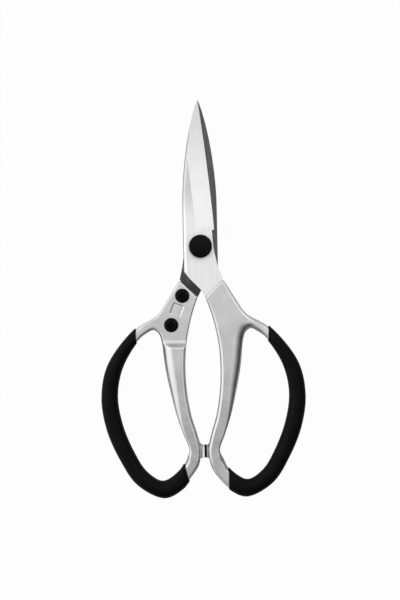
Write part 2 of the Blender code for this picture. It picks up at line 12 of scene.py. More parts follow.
import logging
import math
from dataclasses import dataclass, field, fields
from enum import Enum, IntEnum
from typing import Sequence

import bpy
import numpy as np
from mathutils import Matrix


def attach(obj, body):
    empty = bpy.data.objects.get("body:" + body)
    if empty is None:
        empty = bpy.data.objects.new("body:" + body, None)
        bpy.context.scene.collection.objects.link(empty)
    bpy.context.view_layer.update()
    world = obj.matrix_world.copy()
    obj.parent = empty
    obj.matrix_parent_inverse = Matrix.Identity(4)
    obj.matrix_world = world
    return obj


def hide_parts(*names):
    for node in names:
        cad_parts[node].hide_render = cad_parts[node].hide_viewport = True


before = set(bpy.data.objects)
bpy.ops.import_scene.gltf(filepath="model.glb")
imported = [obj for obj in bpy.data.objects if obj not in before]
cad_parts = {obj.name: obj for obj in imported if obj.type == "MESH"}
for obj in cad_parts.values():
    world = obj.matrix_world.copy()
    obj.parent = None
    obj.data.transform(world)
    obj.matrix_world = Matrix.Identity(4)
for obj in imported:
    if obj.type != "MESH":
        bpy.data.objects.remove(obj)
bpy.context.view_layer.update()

Array = np.ndarray
Material = bpy.types.Material
Socket = bpy.types.NodeSocket
Colour = tuple[float, float, float]
Spots = Sequence[tuple[float, float]]      # points of x and y
Stops = Sequence[tuple[float, float]]      # places, each with a value
Run = tuple[Array, Array]                  # points of an outline and the rounding at each

LOG = logging.getLogger("garden_shears")

SLIDE_PLANE = 0.0053      # height of the plane in which the blades slide
BLADE_THICKNESS = 0.0026
TOUCH = 0.0003            # gap between pieces that rest on each other
FIT = 0.00005             # gap between pieces that are cast or pressed together
BREAK = 0.0001            # bevel that takes the sharpness off a small edge
CLEAR = 0.001             # how far a cutter reaches past what it cuts
FINE_ROUND = 96           # points round a turned piece
COARSE_ROUND = 48         # points round a bore
FACE_WEIGHT = 100         # how far normals lean on the larger faces, where 50 is neutral


class Side(Enum):
    """One half of the shears, named after the side that its handle is on."""

    LEFT = "left"
    RIGHT = "right"

    @property
    def body(self) -> str:
        """Name of the body that this half's pieces ride on."""
        return f"{self.value}_half"

    def placed(self, points: Array) -> Array:
        """Points of the shared design on this half: (x, y, z) or (-x, y, -z), lifted."""
        turn = (-1.0, 1.0, -1.0) if self is Side.LEFT else (1.0, 1.0, 1.0)
        return points * np.array(turn) + np.array((0.0, 0.0, SLIDE_PLANE))


class Slot(Enum):
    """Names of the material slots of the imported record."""

    CAST_ALUMINIUM = "cast_aluminium"
    BLADE_STEEL = "blade_steel"
    GRIP_RUBBER = "grip_rubber"
    BLACK_STEEL = "black_steel"
    BLACK_PLASTIC = "black_plastic"


class Cut(Enum):
    """What a Boolean does with its second solid."""

    REMOVE = "DIFFERENCE"
    JOIN = "UNION"


class Look(IntEnum):
    """Finish of a blade's face: its place in the list of the blade's materials."""

    BRUSHED = 0
    BEVEL = 1
    INSIDE = 2


# ---- Shapes as arrays -------------------------------------------------------------------------


def smooth_line(points: Array, at: Array, closed: bool) -> Array:
    """Centripetal Catmull-Rom curve through points, taken at places counted in knots.

    Between two knots the curve blends the straight lines through four neighbouring points in
    three rounds; the time between two points is the square root of their distance.

    Args:
        points: Knots as rows of x and y.
        at: Places along the curve, 2.5 being halfway between the third and fourth knot.
        closed: Whether the last knot is joined to the first.

    Returns:
        One row of x and y for each place.
    """
    count = len(points)
    if closed:
        first = np.floor(at).astype(int)
        p = points[(first[:, None] + np.arange(-1, 3)) % count]
    else:
        first = np.clip(np.floor(at).astype(int), 0, count - 2)
        ends = (2 * points[:1] - points[1:2], points, 2 * points[-1:] - points[-2:-1])
        p = np.vstack(ends)[first[:, None] + np.arange(4)]
    gaps = np.sqrt(np.linalg.norm(np.diff(p, axis=1), axis=2))
    t = np.concatenate([np.zeros((len(at), 1)), np.cumsum(gaps, axis=1)], axis=1)
    now = t[:, 1] + (at - first) * gaps[:, 1]

    def blend(a: Array, b: Array, start: Array, end: Array) -> Array:
        """Straight line that is a at start and b at end."""
        share = ((now - start) / (end - start))[:, None]
        return a * (1 - share) + b * share

    q = [blend(p[:, i], p[:, i + 1], t[:, i], t[:, i + 1]) for i in range(3)]
    r = [blend(q[i], q[i + 1], t[:, i], t[:, i + 2]) for i in range(2)]
    return blend(r[0], r[1], t[:, 1], t[:, 2])


def ramp(at: Array, stops: Stops) -> Array:
    """Value that eases from stop to stop: each step adds its rise times 3s^2 - 2s^3.

    Args:
        at: Where the value is wanted.
        stops: Places in rising order, each with the value there.

    Returns:
        The value at each place, the same as at the first or last stop beyond them.
    """
    value = np.full(np.shape(at), stops[0][1], float)
    for (a, low), (b, high) in zip(stops, stops[1:]):
        s = np.clip((at - a) / (b - a), 0.0, 1.0)
        value += (high - low) * s * s * (3 - 2 * s)
    return value


def unit(vectors: Array) -> Array:
    """Vectors divided by their length."""
    return vectors / np.linalg.norm(vectors, axis=-1, keepdims=True)


def inward(points: Array) -> Array:
    """Normals on the left of a closed line of points, stretched where it bends.

    The normal at a point is the mean of its two edges' unit normals, divided by the cosine of
    half the bend, so that an inset line stays parallel to the edges.

    Args:
        points: Rows of x and y.

    Returns:
        One normal for each point, at most twice as long as a unit.
    """
    before = unit(points - np.roll(points, 1, axis=0))
    after = unit(np.roll(points, -1, axis=0) - points)
    mean = unit(np.stack([-(before + after)[:, 1], (before + after)[:, 0]], axis=1))
    side = np.stack([-after[:, 1], after[:, 0]], axis=1)
    return mean / np.maximum(0.5, np.sum(mean * side, axis=1))[:, None]


def corner_arc(before: Array, corner: Array, after: Array, radius: float, count: int) -> Array:
    """Arc that rounds a corner, from the side of the point before it to the side after it.

    The centre lies on the corner's bisector at radius / sin(half angle). The arc's points are
    the centre plus the first arm turned by equal shares of the whole turn.

    Args:
        before: Point on the side where the arc starts.
        corner: The corner itself.
        after: Point on the side where the arc ends.
        radius: Radius of the arc.
        count: Number of points on it.

    Returns:
        The arc's points as rows of x and y.
    """
    arms = unit(np.stack([before - corner, after - corner]))
    half = math.acos(float(np.clip(arms[0] @ arms[1], -1.0, 1.0))) / 2
    centre = corner + unit(arms.sum(axis=0)) * radius / math.sin(half)
    start, end = corner + arms * radius / math.tan(half) - centre
    turn = math.atan2(start[0] * end[1] - start[1] * end[0], start @ end)
    angle = np.linspace(0.0, turn, count)[:, None]
    return centre + start * np.cos(angle) + np.array([-start[1], start[0]]) * np.sin(angle)


def resample(points: Array, step: float) -> Array:
    """Points at even steps along a line of points, both ends kept.

    Args:
        points: Corners of the line as rows of coordinates.
        step: Distance between two new points, as nearly as the length allows.

    Returns:
        The new points as rows of coordinates.
    """
    along = np.concatenate([[0.0], np.cumsum(np.linalg.norm(np.diff(points, axis=0), axis=1))])
    places = np.linspace(0.0, along[-1], max(2, round(along[-1] / step) + 1))
    return np.stack([np.interp(places, along, column) for column in points.T], axis=1)


@dataclass
class Skin:
    """Closed skin of one solid: points, quads between them and flat end faces."""

    points: Array
    quads: Array
    ends: list[Array] = field(default_factory=list)

    @classmethod
    def over(cls, rings: Array, closed: bool = False) -> Skin:
        """Skin over rings of equally many points.

        Quad (r, c) joins the points (r, c), (r, c + 1), (r + 1, c + 1) and (r + 1, c).

        Args:
            rings: Array of rings, points and coordinates.
            closed: Whether the last ring is joined to the first. If not, both get an end face.

        Returns:
            The skin, with its faces outwards.
        """
        rows, columns = rings.shape[:2]
        low, left = np.meshgrid(np.arange(rows if closed else rows - 1), np.arange(columns),
                                indexing="ij")
        high, right = (low + 1) % rows, (left + 1) % columns
        quads = np.stack([low * columns + left, low * columns + right,
                          high * columns + right, high * columns + left], axis=-1)
        numbers = np.arange(rows * columns).reshape(rows, columns)
        ends = [] if closed else [numbers[0, ::-1], numbers[-1]]
        made = cls(rings.reshape(-1, 3), quads.reshape(-1, 4), ends)
        return made if made.volume() > 0 else made.turned()

    @classmethod
    def prism(cls, outline: Array, low: float, high: float) -> Skin:
        """Straight-sided solid over an outline, from one height to another."""
        rings = [np.column_stack([outline, np.full(len(outline), z)]) for z in (low, high)]
        return cls.over(np.stack(rings))

    @classmethod
    def lathe(cls, profile: Sequence[tuple[float, float]], sides: int = FINE_ROUND,
              corners: Sequence[int] = ()) -> Skin:
        """Surface of revolution about Z: point (i, k) is (r_i cos a_k, r_i sin a_k, z_i).

        Args:
            profile: Rows of radius and height.
            sides: Points on each ring.
            corners: For each row its number of corners, or 0 for round. On a polygon the
                reach is r / cos(angle from the middle of the flat).

        Returns:
            The skin, with a flat face at each end.
        """
        angle = 2 * math.pi * np.arange(sides) / sides
        rings = []
        for (radius, z), flats in zip(profile, list(corners) or [0] * len(profile)):
            reach = np.full(sides, radius)
            if flats:
                sector = 2 * math.pi / flats
                reach = radius / np.cos((angle + sector / 2) % sector - sector / 2)
            rings.append(np.column_stack([reach * np.cos(angle), reach * np.sin(angle),
                                          np.full(sides, z)]))
        return cls.over(np.stack(rings))

    def volume(self) -> float:
        """Volume inside: a sixth of the sum of a . (b x c) over triangles fanned from a corner.

        Returns:
            The volume, below 0 where the faces point inwards.
        """
        fans = [self.quads[:, (0, 1, 2)], self.quads[:, (0, 2, 3)]]
        fans += [np.column_stack([np.full(len(end) - 2, end[0]), end[1:-1], end[2:]])
                 for end in self.ends]
        a, b, c = self.points[np.vstack(fans)].transpose(1, 0, 2)
        return float(np.sum(a * np.cross(b, c))) / 6

    def turned(self) -> Skin:
        """The same skin with its faces turned over."""
        return Skin(self.points, self.quads[:, ::-1], [end[::-1] for end in self.ends])

    def moved(self, by: Sequence[float]) -> Skin:
        """The same skin moved by a vector."""
        return Skin(self.points + np.asarray(by, float), self.quads, self.ends)

    def on(self, side: Side) -> Skin:
        """The same skin where a half of the shears has it."""
        return Skin(side.placed(self.points), self.quads, self.ends)

    def plus(self, *others: Skin) -> Skin:
        """Several separate solids as one skin.

        Args:
            *others: Skins to add, none of which touches another.

        Returns:
            One skin with all their points and faces.
        """
        points, quads, ends, start = [self.points], [self.quads], list(self.ends), 0
        for before, other in zip((self, *others), others):
            start += len(before.points)
            points.append(other.points)
            quads.append(other.quads + start)
            ends += [end + start for end in other.ends]
        return Skin(np.vstack(points), np.vstack(quads), ends)

    def mesh(self, name: str) -> bpy.types.Mesh:
        """Blender mesh of the skin.

        Args:
            name: Name of the mesh.

        Returns:
            The mesh, with its faces outwards.
        """
        made = bpy.data.meshes.new(name)
        faces = self.quads.tolist() + [end.tolist() for end in self.ends]
        made.from_pydata(self.points.tolist(), [], faces)
        made.validate()
        return made


def linked(name: str, data: bpy.types.ID) -> bpy.types.Object:
    """New object of the scene that shows a mesh, a lamp or a camera."""
    made = bpy.data.objects.new(name, data)
    bpy.context.scene.collection.objects.link(made)
    return made


def applied(work: bpy.types.Object, *tools: bpy.types.Object) -> bpy.types.Mesh:
    """Mesh of an object after its modifiers. The object and its tools are removed.

    Args:
        work: Object with its modifiers.
        *tools: Objects that the modifiers use.

    Returns:
        A new mesh, named as the object's own was.
    """
    name = work.data.name
    graph = bpy.context.evaluated_depsgraph_get()
    done = bpy.data.meshes.new_from_object(work.evaluated_get(graph))
    for thing in (work, *tools):
        old = thing.data
        bpy.data.objects.remove(thing, do_unlink=True)
        bpy.data.meshes.remove(old)
    done.name = name
    return done


def carved(skin: Skin, side: Side, name: str,
           steps: Sequence[tuple[Cut, Skin]]) -> bpy.types.Mesh:
    """Mesh of a skin after its Boolean steps, where a half of the shears has it.

    Args:
        skin: The solid to work on, in the shared design.
        side: Half of the shears that it belongs to.
        name: Name of the mesh.
        steps: What to join or remove, in order.

    Returns:
        The finished mesh.
    """
    work = linked(name + "_work", skin.on(side).mesh(name))
    tools = []
    for cut, tool in steps:
        tools.append(linked(name + "_tool", tool.on(side).mesh(name + "_tool")))
        step = work.modifiers.new("cut", "BOOLEAN")
        step.operation = cut.value
        step.solver = "EXACT"
        step.object = tools[-1]
    return applied(work, *tools)


def with_flat_faces_flat(mesh: bpy.types.Mesh) -> bpy.types.Mesh:
    """Give a mesh normals that lean on its larger faces, so that flats look flat.

    Args:
        mesh: Mesh with its sharp edges marked. It is used up.

    Returns:
        A new mesh of the same name.
    """
    work = linked("normals_work", mesh)
    step = work.modifiers.new("normals", "WEIGHTED_NORMAL")
    step.keep_sharp = True
    step.weight = FACE_WEIGHT
    return applied(work)


def add_piece(mesh: bpy.types.Mesh, body: str, finishes: Sequence[Material],
              stands_for: str, crease: float = 28.0) -> bpy.types.Object:
    """Put a finished mesh into the scene as a piece that rides on a body.

    The corner attribute "steep" is 0 where a face looks straight up or down and 1 where it
    stands upright: the angle between its normal and Z, in right angles.

    Args:
        mesh: The mesh, in the part's frame.
        body: Body that it moves with.
        finishes: Its materials; the faces' material_index chooses among them.
        stands_for: CAD node that it replaces.
        crease: Edges that bend more than this many degrees stay sharp.

    Returns:
        The piece's object.
    """
    for finish in finishes:
        mesh.materials.append(finish)
    mesh.shade_smooth()
    mesh.set_sharp_from_angle(angle=math.radians(crease))
    mesh = with_flat_faces_flat(mesh)
    normals = np.empty(len(mesh.loops) * 3, np.float32)
    mesh.corner_normals.foreach_get("vector", normals)
    # the finishes paint shade on steep faces by this attribute
    steep = np.arccos(np.clip(np.abs(normals.reshape(-1, 3)[:, 2]), 0.0, 1.0)) / (math.pi / 2)
    mesh.attributes.new("steep", "FLOAT", "CORNER").data.foreach_set("value", steep)
    made = linked(mesh.name, mesh)
    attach(made, body)
    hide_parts(stands_for)
    LOG.info("%s: %d faces on %s", made.name, len(mesh.polygons), body)
    return made


# ---- Finishes ---------------------------------------------------------------------------------


class Nodes:
    """A node tree under construction."""

    def __init__(self, tree: bpy.types.NodeTree) -> None:
        """Start on an empty tree."""
        self.tree = tree
        tree.nodes.clear()

    def add(self, kind: str, **values: object) -> bpy.types.Node:
        """Add a node of a kind, with its settings and inputs.

        Args:
            kind: Node type without its prefix, such as "TexNoise".
            **values: Settings of the node, and inputs by name, with spaces written as
                underscores, or by number, such as i0 for the first one.

        Returns:
            The new node.
        """
        node = self.tree.nodes.new("ShaderNode" + kind)
        for name, value in values.items():
            if hasattr(node, name):
                setattr(node, name, value)
        for name, value in values.items():
            socket = node.inputs.get(name.replace("_", " "))
            if socket is None and name[0] == "i" and name[1:].isdigit():
                socket = node.inputs[int(name[1:])]
            if socket is not None:
                self.feed(socket, value)
        return node

    def feed(self, socket: Socket, value: object) -> None:
        """Give an input its value.

        Args:
            socket: The input.
            value: Output of another node, which is linked, or what is set. A colour of three
                numbers becomes opaque.
        """
        if isinstance(value, Socket):
            self.tree.links.new(value, socket)
        elif socket.type == "RGBA":
            socket.default_value = (*value, 1.0)
        else:
            socket.default_value = value

    def math(self, operation: str, a: object, b: object = 0.0, c: object = 0.0) -> Socket:
        """Output of a Math node."""
        return self.add("Math", operation=operation, i0=a, i1=b, i2=c).outputs[0]

    def span(self, value: Socket, low: object, high: object,
             to_low: float = 0.0, to_high: float = 1.0) -> Socket:
        """Output of a smooth, clamped Map Range node.

        Args:
            value: What is mapped.
            low: Value that gives to_low.
            high: Value that gives to_high.
            to_low: Result at and below low.
            to_high: Result at and above high.

        Returns:
            The result.
        """
        node = self.add("MapRange", interpolation_type="SMOOTHSTEP", i0=value, i1=low, i2=high,
                        i3=to_low, i4=to_high)
        return node.outputs[0]

    def blend(self, share: Socket, a: object, b: object) -> Socket:
        """Colour that goes over from a to b as the share rises from 0 to 1."""
        return self.add("Mix", data_type="RGBA", i0=share, i6=a, i7=b).outputs[2]


def group(name: str, inputs: Sequence[tuple[str, str, object]],
          outputs: Sequence[tuple[str, str]]) -> tuple[Nodes, bpy.types.Node, bpy.types.Node]:
    """Start a shader node group.

    Args:
        name: Name of the group.
        inputs: Label, kind and value of each input, None for one that is always linked.
        outputs: Label and kind of each output.

    Returns:
        Its nodes, and its input node and output node.
    """
    tree = bpy.data.node_groups.new(name, "ShaderNodeTree")
    for label, kind, value in inputs:
        socket = tree.interface.new_socket(label, in_out="INPUT", socket_type=kind)
        if value is not None:
            socket.default_value = value
    for label, kind in outputs:
        tree.interface.new_socket(label, in_out="OUTPUT", socket_type=kind)
    nodes = Nodes(tree)
    return nodes, tree.nodes.new("NodeGroupInput"), tree.nodes.new("NodeGroupOutput")


FLOAT, VECTOR, COLOUR = "NodeSocketFloat", "NodeSocketVector", "NodeSocketColor"
NOISE_SPAN = (0.3, 0.7)      # values between which nearly all of a noise lies
METAL, NO_METAL = 1.0, 0.0   # values of Metallic


def grey(level: float) -> Colour:
    """Neutral colour of a level."""
    return (level, level, level)


class Effects:
    """Shader node groups that several finishes share, each built once."""

    def __init__(self) -> None:
        """Build the groups."""
        self.grain = self.build_grain()
        self.streaks = self.build_streaks()
        # darker colour on steep faces: painted shade
        self.wall_shade = self.build_wall_shade()

    @staticmethod
    def build_grain() -> bpy.types.NodeTree:
        """Fine grain and slow clouds: two noises of a given grain size in metres."""
        nodes, inner, outer = group(
            "surface_grain",
            [("Place", VECTOR, None), ("Fine size", FLOAT, 0.0003), ("Cloud size", FLOAT, 0.008)],
            [("Fine", FLOAT), ("Clouds", FLOAT)])
        for label, size, detail in (("Fine", "Fine size", 2.0), ("Clouds", "Cloud size", 3.0)):
            scale = nodes.math("DIVIDE", 1.0, inner.outputs[size])
            noise = nodes.add("TexNoise", Vector=inner.outputs["Place"], Scale=scale,
                              Detail=detail, Roughness=0.55)
            nodes.tree.links.new(noise.outputs[0], outer.inputs[label])
        return nodes.tree

    @staticmethod
    def build_streaks() -> bpy.types.NodeTree:
        """Marks of a grinding belt: a noise squeezed to a width and drawn out to a length."""
        nodes, inner, outer = group(
            "grinding_streaks",
            [("Place", VECTOR, None), ("Width", FLOAT, 0.0002), ("Length", FLOAT, 0.01)],
            [("Streaks", FLOAT), ("Broad", FLOAT)])
        parts = nodes.add("SeparateXYZ", Vector=inner.outputs["Place"])
        for label, wider in (("Streaks", 1.0), ("Broad", 6.0)):
            width = nodes.math("MULTIPLY", inner.outputs["Width"], wider)
            length = nodes.math("MULTIPLY", inner.outputs["Length"], wider)
            squeezed = nodes.add("CombineXYZ",
                                 X=nodes.math("DIVIDE", parts.outputs[0], width),
                                 Y=nodes.math("DIVIDE", parts.outputs[1], length),
                                 Z=nodes.math("DIVIDE", parts.outputs[2], width))
            noise = nodes.add("TexNoise", Vector=squeezed.outputs[0], Scale=1.0, Detail=2.0)
            nodes.tree.links.new(noise.outputs[0], outer.inputs[label])
        return nodes.tree

    @staticmethod
    def build_wall_shade() -> bpy.types.NodeTree:
        """Painted shade: face colour on level faces that turns to a darker wall colour on upright
        ones.
        """
        nodes, inner, outer = group(
            "painted_wall_shade",
            [("Steep", FLOAT, 0.0), ("Face", COLOUR, None), ("Wall", COLOUR, None),
             ("From", FLOAT, 0.5), ("To", FLOAT, 0.9)],
            [("Color", COLOUR)])
        share = nodes.span(inner.outputs["Steep"], inner.outputs["From"], inner.outputs["To"])
        colour = nodes.blend(share, inner.outputs["Face"], inner.outputs["Wall"])
        nodes.tree.links.new(colour, outer.inputs["Color"])
        return nodes.tree

    def noises(self, nodes: Nodes, place: Socket, fine_size: float,
               cloud_size: float) -> tuple[Socket, Socket]:
        """Place the grain in a material.

        Args:
            nodes: The material's nodes.
            place: Object coordinates.
            fine_size: Size of the fine grain in metres.
            cloud_size: Size of the clouds in metres.

        Returns:
            The fine grain and the clouds.
        """
        grain = nodes.add("Group", node_tree=self.grain, Place=place, Fine_size=fine_size,
                          Cloud_size=cloud_size)
        return grain.outputs["Fine"], grain.outputs["Clouds"]

    def walled(self, nodes: Nodes, face: Socket, wall: Colour,
               steepness: tuple[float, float]) -> Socket:
        """Place the painted wall shade in a material.

        Args:
            nodes: The material's nodes.
            face: Colour of level faces.
            wall: Colour of upright ones.
            steepness: Where the one starts and the other is reached, in right angles.

        Returns:
            The colour between the two.
        """
        steep = nodes.add("Attribute", attribute_name="steep").outputs["Fac"]
        skin = nodes.add("Group", node_tree=self.wall_shade, Steep=steep, Face=face, Wall=wall,
                         From=steepness[0], To=steepness[1])
        return skin.outputs["Color"]


def material(name: str) -> tuple[Material, Nodes]:
    """Empty material and its nodes."""
    made = bpy.data.materials.new(name)
    made.use_nodes = True
    return made, Nodes(made.node_tree)


def finish_shader(nodes: Nodes, colour: Socket, roughness: Socket, metallic: float,
                  height: Socket, depth: float, specular: float = 0.5) -> None:
    """Principled BSDF and output at the end of a material.

    Args:
        nodes: The material's nodes.
        colour: Base Color.
        roughness: Roughness.
        metallic: Metallic.
        height: Relief between 0 and 1.
        depth: Depth of that relief in metres.
        specular: Specular IOR Level.
    """
    bump = nodes.add("Bump", Height=height, Distance=depth, Strength=1.0)
    shader = nodes.add("BsdfPrincipled", Base_Color=colour, Metallic=metallic,
                       Roughness=roughness, Specular_IOR_Level=specular, Normal=bump.outputs[0])
    nodes.add("OutputMaterial", Surface=shader.outputs[0])


def weighted(nodes: Nodes, parts: Sequence[tuple[Socket, float]]) -> Socket:
    """Sum of values, each times its weight.

    Args:
        nodes: The material's nodes.
        parts: Values with their weights.

    Returns:
        The sum.
    """
    value, weight = parts[0]
    if len(parts) == 1:
        return nodes.math("MULTIPLY", value, weight)
    return nodes.math("MULTIPLY_ADD", value, weight, weighted(nodes, parts[1:]))


@dataclass(frozen=True)
class CastAluminium:
    """Satin die casting: fine blasted grain, and steep walls painted darker than its paler faces
    as painted shade.
    """

    effects: Effects
    face: Colour = (0.79, 0.79, 0.79)
    face_dull: Colour = (0.68, 0.68, 0.68)
    # colour of steep walls, darker than the faces: painted shade
    wall: Colour = (0.70, 0.70, 0.705)
    wall_steepness: tuple[float, float] = (0.45, 0.90)
    roughness: tuple[float, float] = (0.28, 0.34)
    grain_size: float = 0.00035
    grain_depth: float = 0.000012
    cloud_size: float = 0.007
    weights: tuple[float, float] = (0.6, 0.4)
    mottle_span: tuple[float, float] = (0.35, 0.65)

    def made(self) -> Material:
        """The material: its mottle blends two tones, and steep faces turn to the darker wall
        colour, which is painted shade.

        Returns:
            The material.
        """
        finish, nodes = material("cast_aluminium_satin")
        place = nodes.add("TexCoord").outputs["Object"]
        fine, clouds = self.effects.noises(nodes, place, self.grain_size, self.cloud_size)
        mottle = weighted(nodes, tuple(zip((fine, clouds), self.weights)))
        face = nodes.blend(nodes.span(mottle, *self.mottle_span), self.face_dull, self.face)
        # painted shade: steep faces take the darker wall colour
        skin = self.effects.walled(nodes, face, self.wall, self.wall_steepness)
        rough = nodes.span(clouds, *NOISE_SPAN, *self.roughness)
        finish_shader(nodes, skin, rough, METAL, fine, self.grain_depth)
        return finish


@dataclass(frozen=True)
class BladeSteel:
    """Ground steel: belt marks along a direction, and clouds where the belt pressed less.

    The fade is painted shade that darkens it along Y: place where that starts, place where it
    ends, and the share of the tone that is left from there on. The wall colour on steep faces is
    painted shade too.
    """

    effects: Effects
    name: str
    light: Colour
    dark: Colour
    # colour of steep faces: painted shade
    wall: Colour
    roughness: tuple[float, float]
    streak_width: float
    streak_length: float
    streak_depth: float
    fade: tuple[float, float, float]
    turn: float = 0.0
    grain_size: float = 0.0004
    cloud_size: float = 0.006
    weights: tuple[float, float, float] = (0.4, 0.35, 0.25)
    tone_span: tuple[float, float] = (0.38, 0.62)
    wall_steepness: tuple[float, float] = (0.45, 0.70)

    def made(self) -> Material:
        """The material: marks and clouds blend two tones, with painted shade along the blade and
        on steep faces.

        Returns:
            The material.
        """
        finish, nodes = material(self.name)
        place = nodes.add("TexCoord").outputs["Object"]
        turned = nodes.add("Mapping", Vector=place, Rotation=(0.0, 0.0, self.turn)).outputs[0]
        marks = nodes.add("Group", node_tree=self.effects.streaks, Place=turned,
                          Width=self.streak_width, Length=self.streak_length)
        _, clouds = self.effects.noises(nodes, place, self.grain_size, self.cloud_size)
        streaks = marks.outputs["Streaks"]
        parts = (streaks, marks.outputs["Broad"], clouds)
        tone = weighted(nodes, tuple(zip(parts, self.weights)))
        face = nodes.blend(nodes.span(tone, *self.tone_span), self.dark, self.light)
        # painted shade: the tone is scaled down along Y, and steep faces get the wall colour
        start, end, left = self.fade
        along = nodes.add("SeparateXYZ", Vector=place).outputs[1]
        shaded_along = nodes.add("VectorMath", operation="SCALE", i0=face,
                           Scale=nodes.span(along, start, end, 1.0, left))
        skin = self.effects.walled(nodes, shaded_along.outputs[0], self.wall, self.wall_steepness)
        rough = nodes.span(streaks, *NOISE_SPAN, *self.roughness)
        finish_shader(nodes, skin, rough, METAL, streaks, self.streak_depth)
        return finish


@dataclass(frozen=True)
class BlackFinish:
    """Black rubber, plastic or blackened steel: a soft gloss over a fine grain."""

    effects: Effects
    name: str
    colour: Colour
    rubbed: Colour
    roughness: tuple[float, float]
    grain_size: float
    grain_depth: float
    specular: float
    cloud_size: float = 0.01
    rubbed_span: tuple[float, float] = (0.4, 0.75)

    def made(self) -> Material:
        """The material: clouds blend the black with its rubbed tone.

        Returns:
            The material.
        """
        finish, nodes = material(self.name)
        place = nodes.add("TexCoord").outputs["Object"]
        fine, clouds = self.effects.noises(nodes, place, self.grain_size, self.cloud_size)
        colour = nodes.blend(nodes.span(clouds, *self.rubbed_span), self.colour, self.rubbed)
        rough = nodes.span(clouds, *NOISE_SPAN, *self.roughness)
        finish_shader(nodes, colour, rough, NO_METAL, fine, self.grain_depth, self.specular)
        return finish


@dataclass(frozen=True)
class ZincPlate:
    """Zinc-plated steel: a slightly cloudy, cool metal."""

    effects: Effects
    dull: Colour = (0.46, 0.47, 0.49)
    bright: Colour = (0.64, 0.64, 0.65)
    roughness: tuple[float, float] = (0.28, 0.42)
    grain_size: float = 0.0002
    grain_depth: float = 0.000004
    cloud_size: float = 0.0015

    def made(self) -> Material:
        """The material: clouds blend a dull tone with a bright one.

        Returns:
            The material.
        """
        finish, nodes = material("zinc_plated_steel")
        place = nodes.add("TexCoord").outputs["Object"]
        fine, clouds = self.effects.noises(nodes, place, self.grain_size, self.cloud_size)
        colour = nodes.blend(clouds, self.dull, self.bright)
        rough = nodes.span(fine, *NOISE_SPAN, *self.roughness)
        finish_shader(nodes, colour, rough, METAL, fine, self.grain_depth)
        return finish


@dataclass
class Finishes:
    """Every finish of the shears, made once."""

    effects: Effects = field(default_factory=Effects)

    def __post_init__(self) -> None:
        """Make the materials."""
        effects = self.effects
        self.casting = CastAluminium(effects).made()
        # the fades along Y and the wall colours of these blade finishes are painted shade
        self.blade_face = BladeSteel(
            effects, "blade_steel_brushed", light=grey(1.0), dark=grey(0.90),
            wall=(0.42, 0.42, 0.43), roughness=(0.40, 0.48), streak_width=0.00022,
            streak_length=0.012, streak_depth=0.000004, fade=(0.012, 0.032, 0.72)).made()
        self.blade_bevel = BladeSteel(
            effects, "blade_steel_ground", light=grey(1.0), dark=grey(0.93), wall=grey(0.5),
            roughness=(0.36, 0.46), streak_width=0.00018, streak_length=0.008,
            streak_depth=0.000003, fade=(0.018, 0.080, 0.70), turn=math.radians(83)).made()
        # the inside's near-black colour is a painted dark reflection, and its fade along Y is
        # painted shade
        self.blade_inside = BladeSteel(
            effects, "blade_steel_inside_painted_dark", light=(0.125, 0.125, 0.128),
            dark=(0.075, 0.075, 0.077), wall=(0.10, 0.10, 0.105), roughness=(0.20, 0.26),
            streak_width=0.00025, streak_length=0.010, streak_depth=0.0000006,
            fade=(-0.0140, -0.0240, 0.50)).made()
        self.rubber = BlackFinish(
            effects, "grip_rubber_soft", colour=grey(0.0030), rubbed=grey(0.0050),
            roughness=(0.40, 0.48), grain_size=0.0003, grain_depth=0.000008,
            specular=0.08).made()
        self.black_steel = BlackFinish(
            effects, "black_oxide_steel", colour=grey(0.002), rubbed=grey(0.005),
            roughness=(0.26, 0.34), grain_size=0.0002, grain_depth=0.000003,
            specular=0.07).made()
        self.plastic = BlackFinish(
            effects, "black_moulded_plastic", colour=grey(0.0015), rubbed=grey(0.003),
            roughness=(0.34, 0.42), grain_size=0.00025, grain_depth=0.000004,
            specular=0.10).made()
        self.zinc = ZincPlate(effects).made()


# ---- Handle and grip --------------------------------------------------------------------------

OUTER_POINTS = 10       # points across the rounding of a handle's outer edge
HOLE_POINTS = 16        # points across the rounding at its finger hole
LEVEL_PARTS = 12        # parts that the face between the two is divided into
WIDTH_LIMIT = 0.97      # share of the section's width that both roundings may take
DEPTH_LIMIT = 0.85      # share of its half thickness that a rounding may take


@dataclass(frozen=True)
class Stations:
    """Places round the handle, each with a point of the outer edge and one of the finger hole."""

    knots: Array
    outer: Array
    hole: Array
    outer_normals: Array
    hole_normals: Array

    def where(self, chosen: Array) -> Stations:
        """Only the stations that are chosen."""
        return Stations(*(getattr(self, part.name)[chosen] for part in fields(self)))


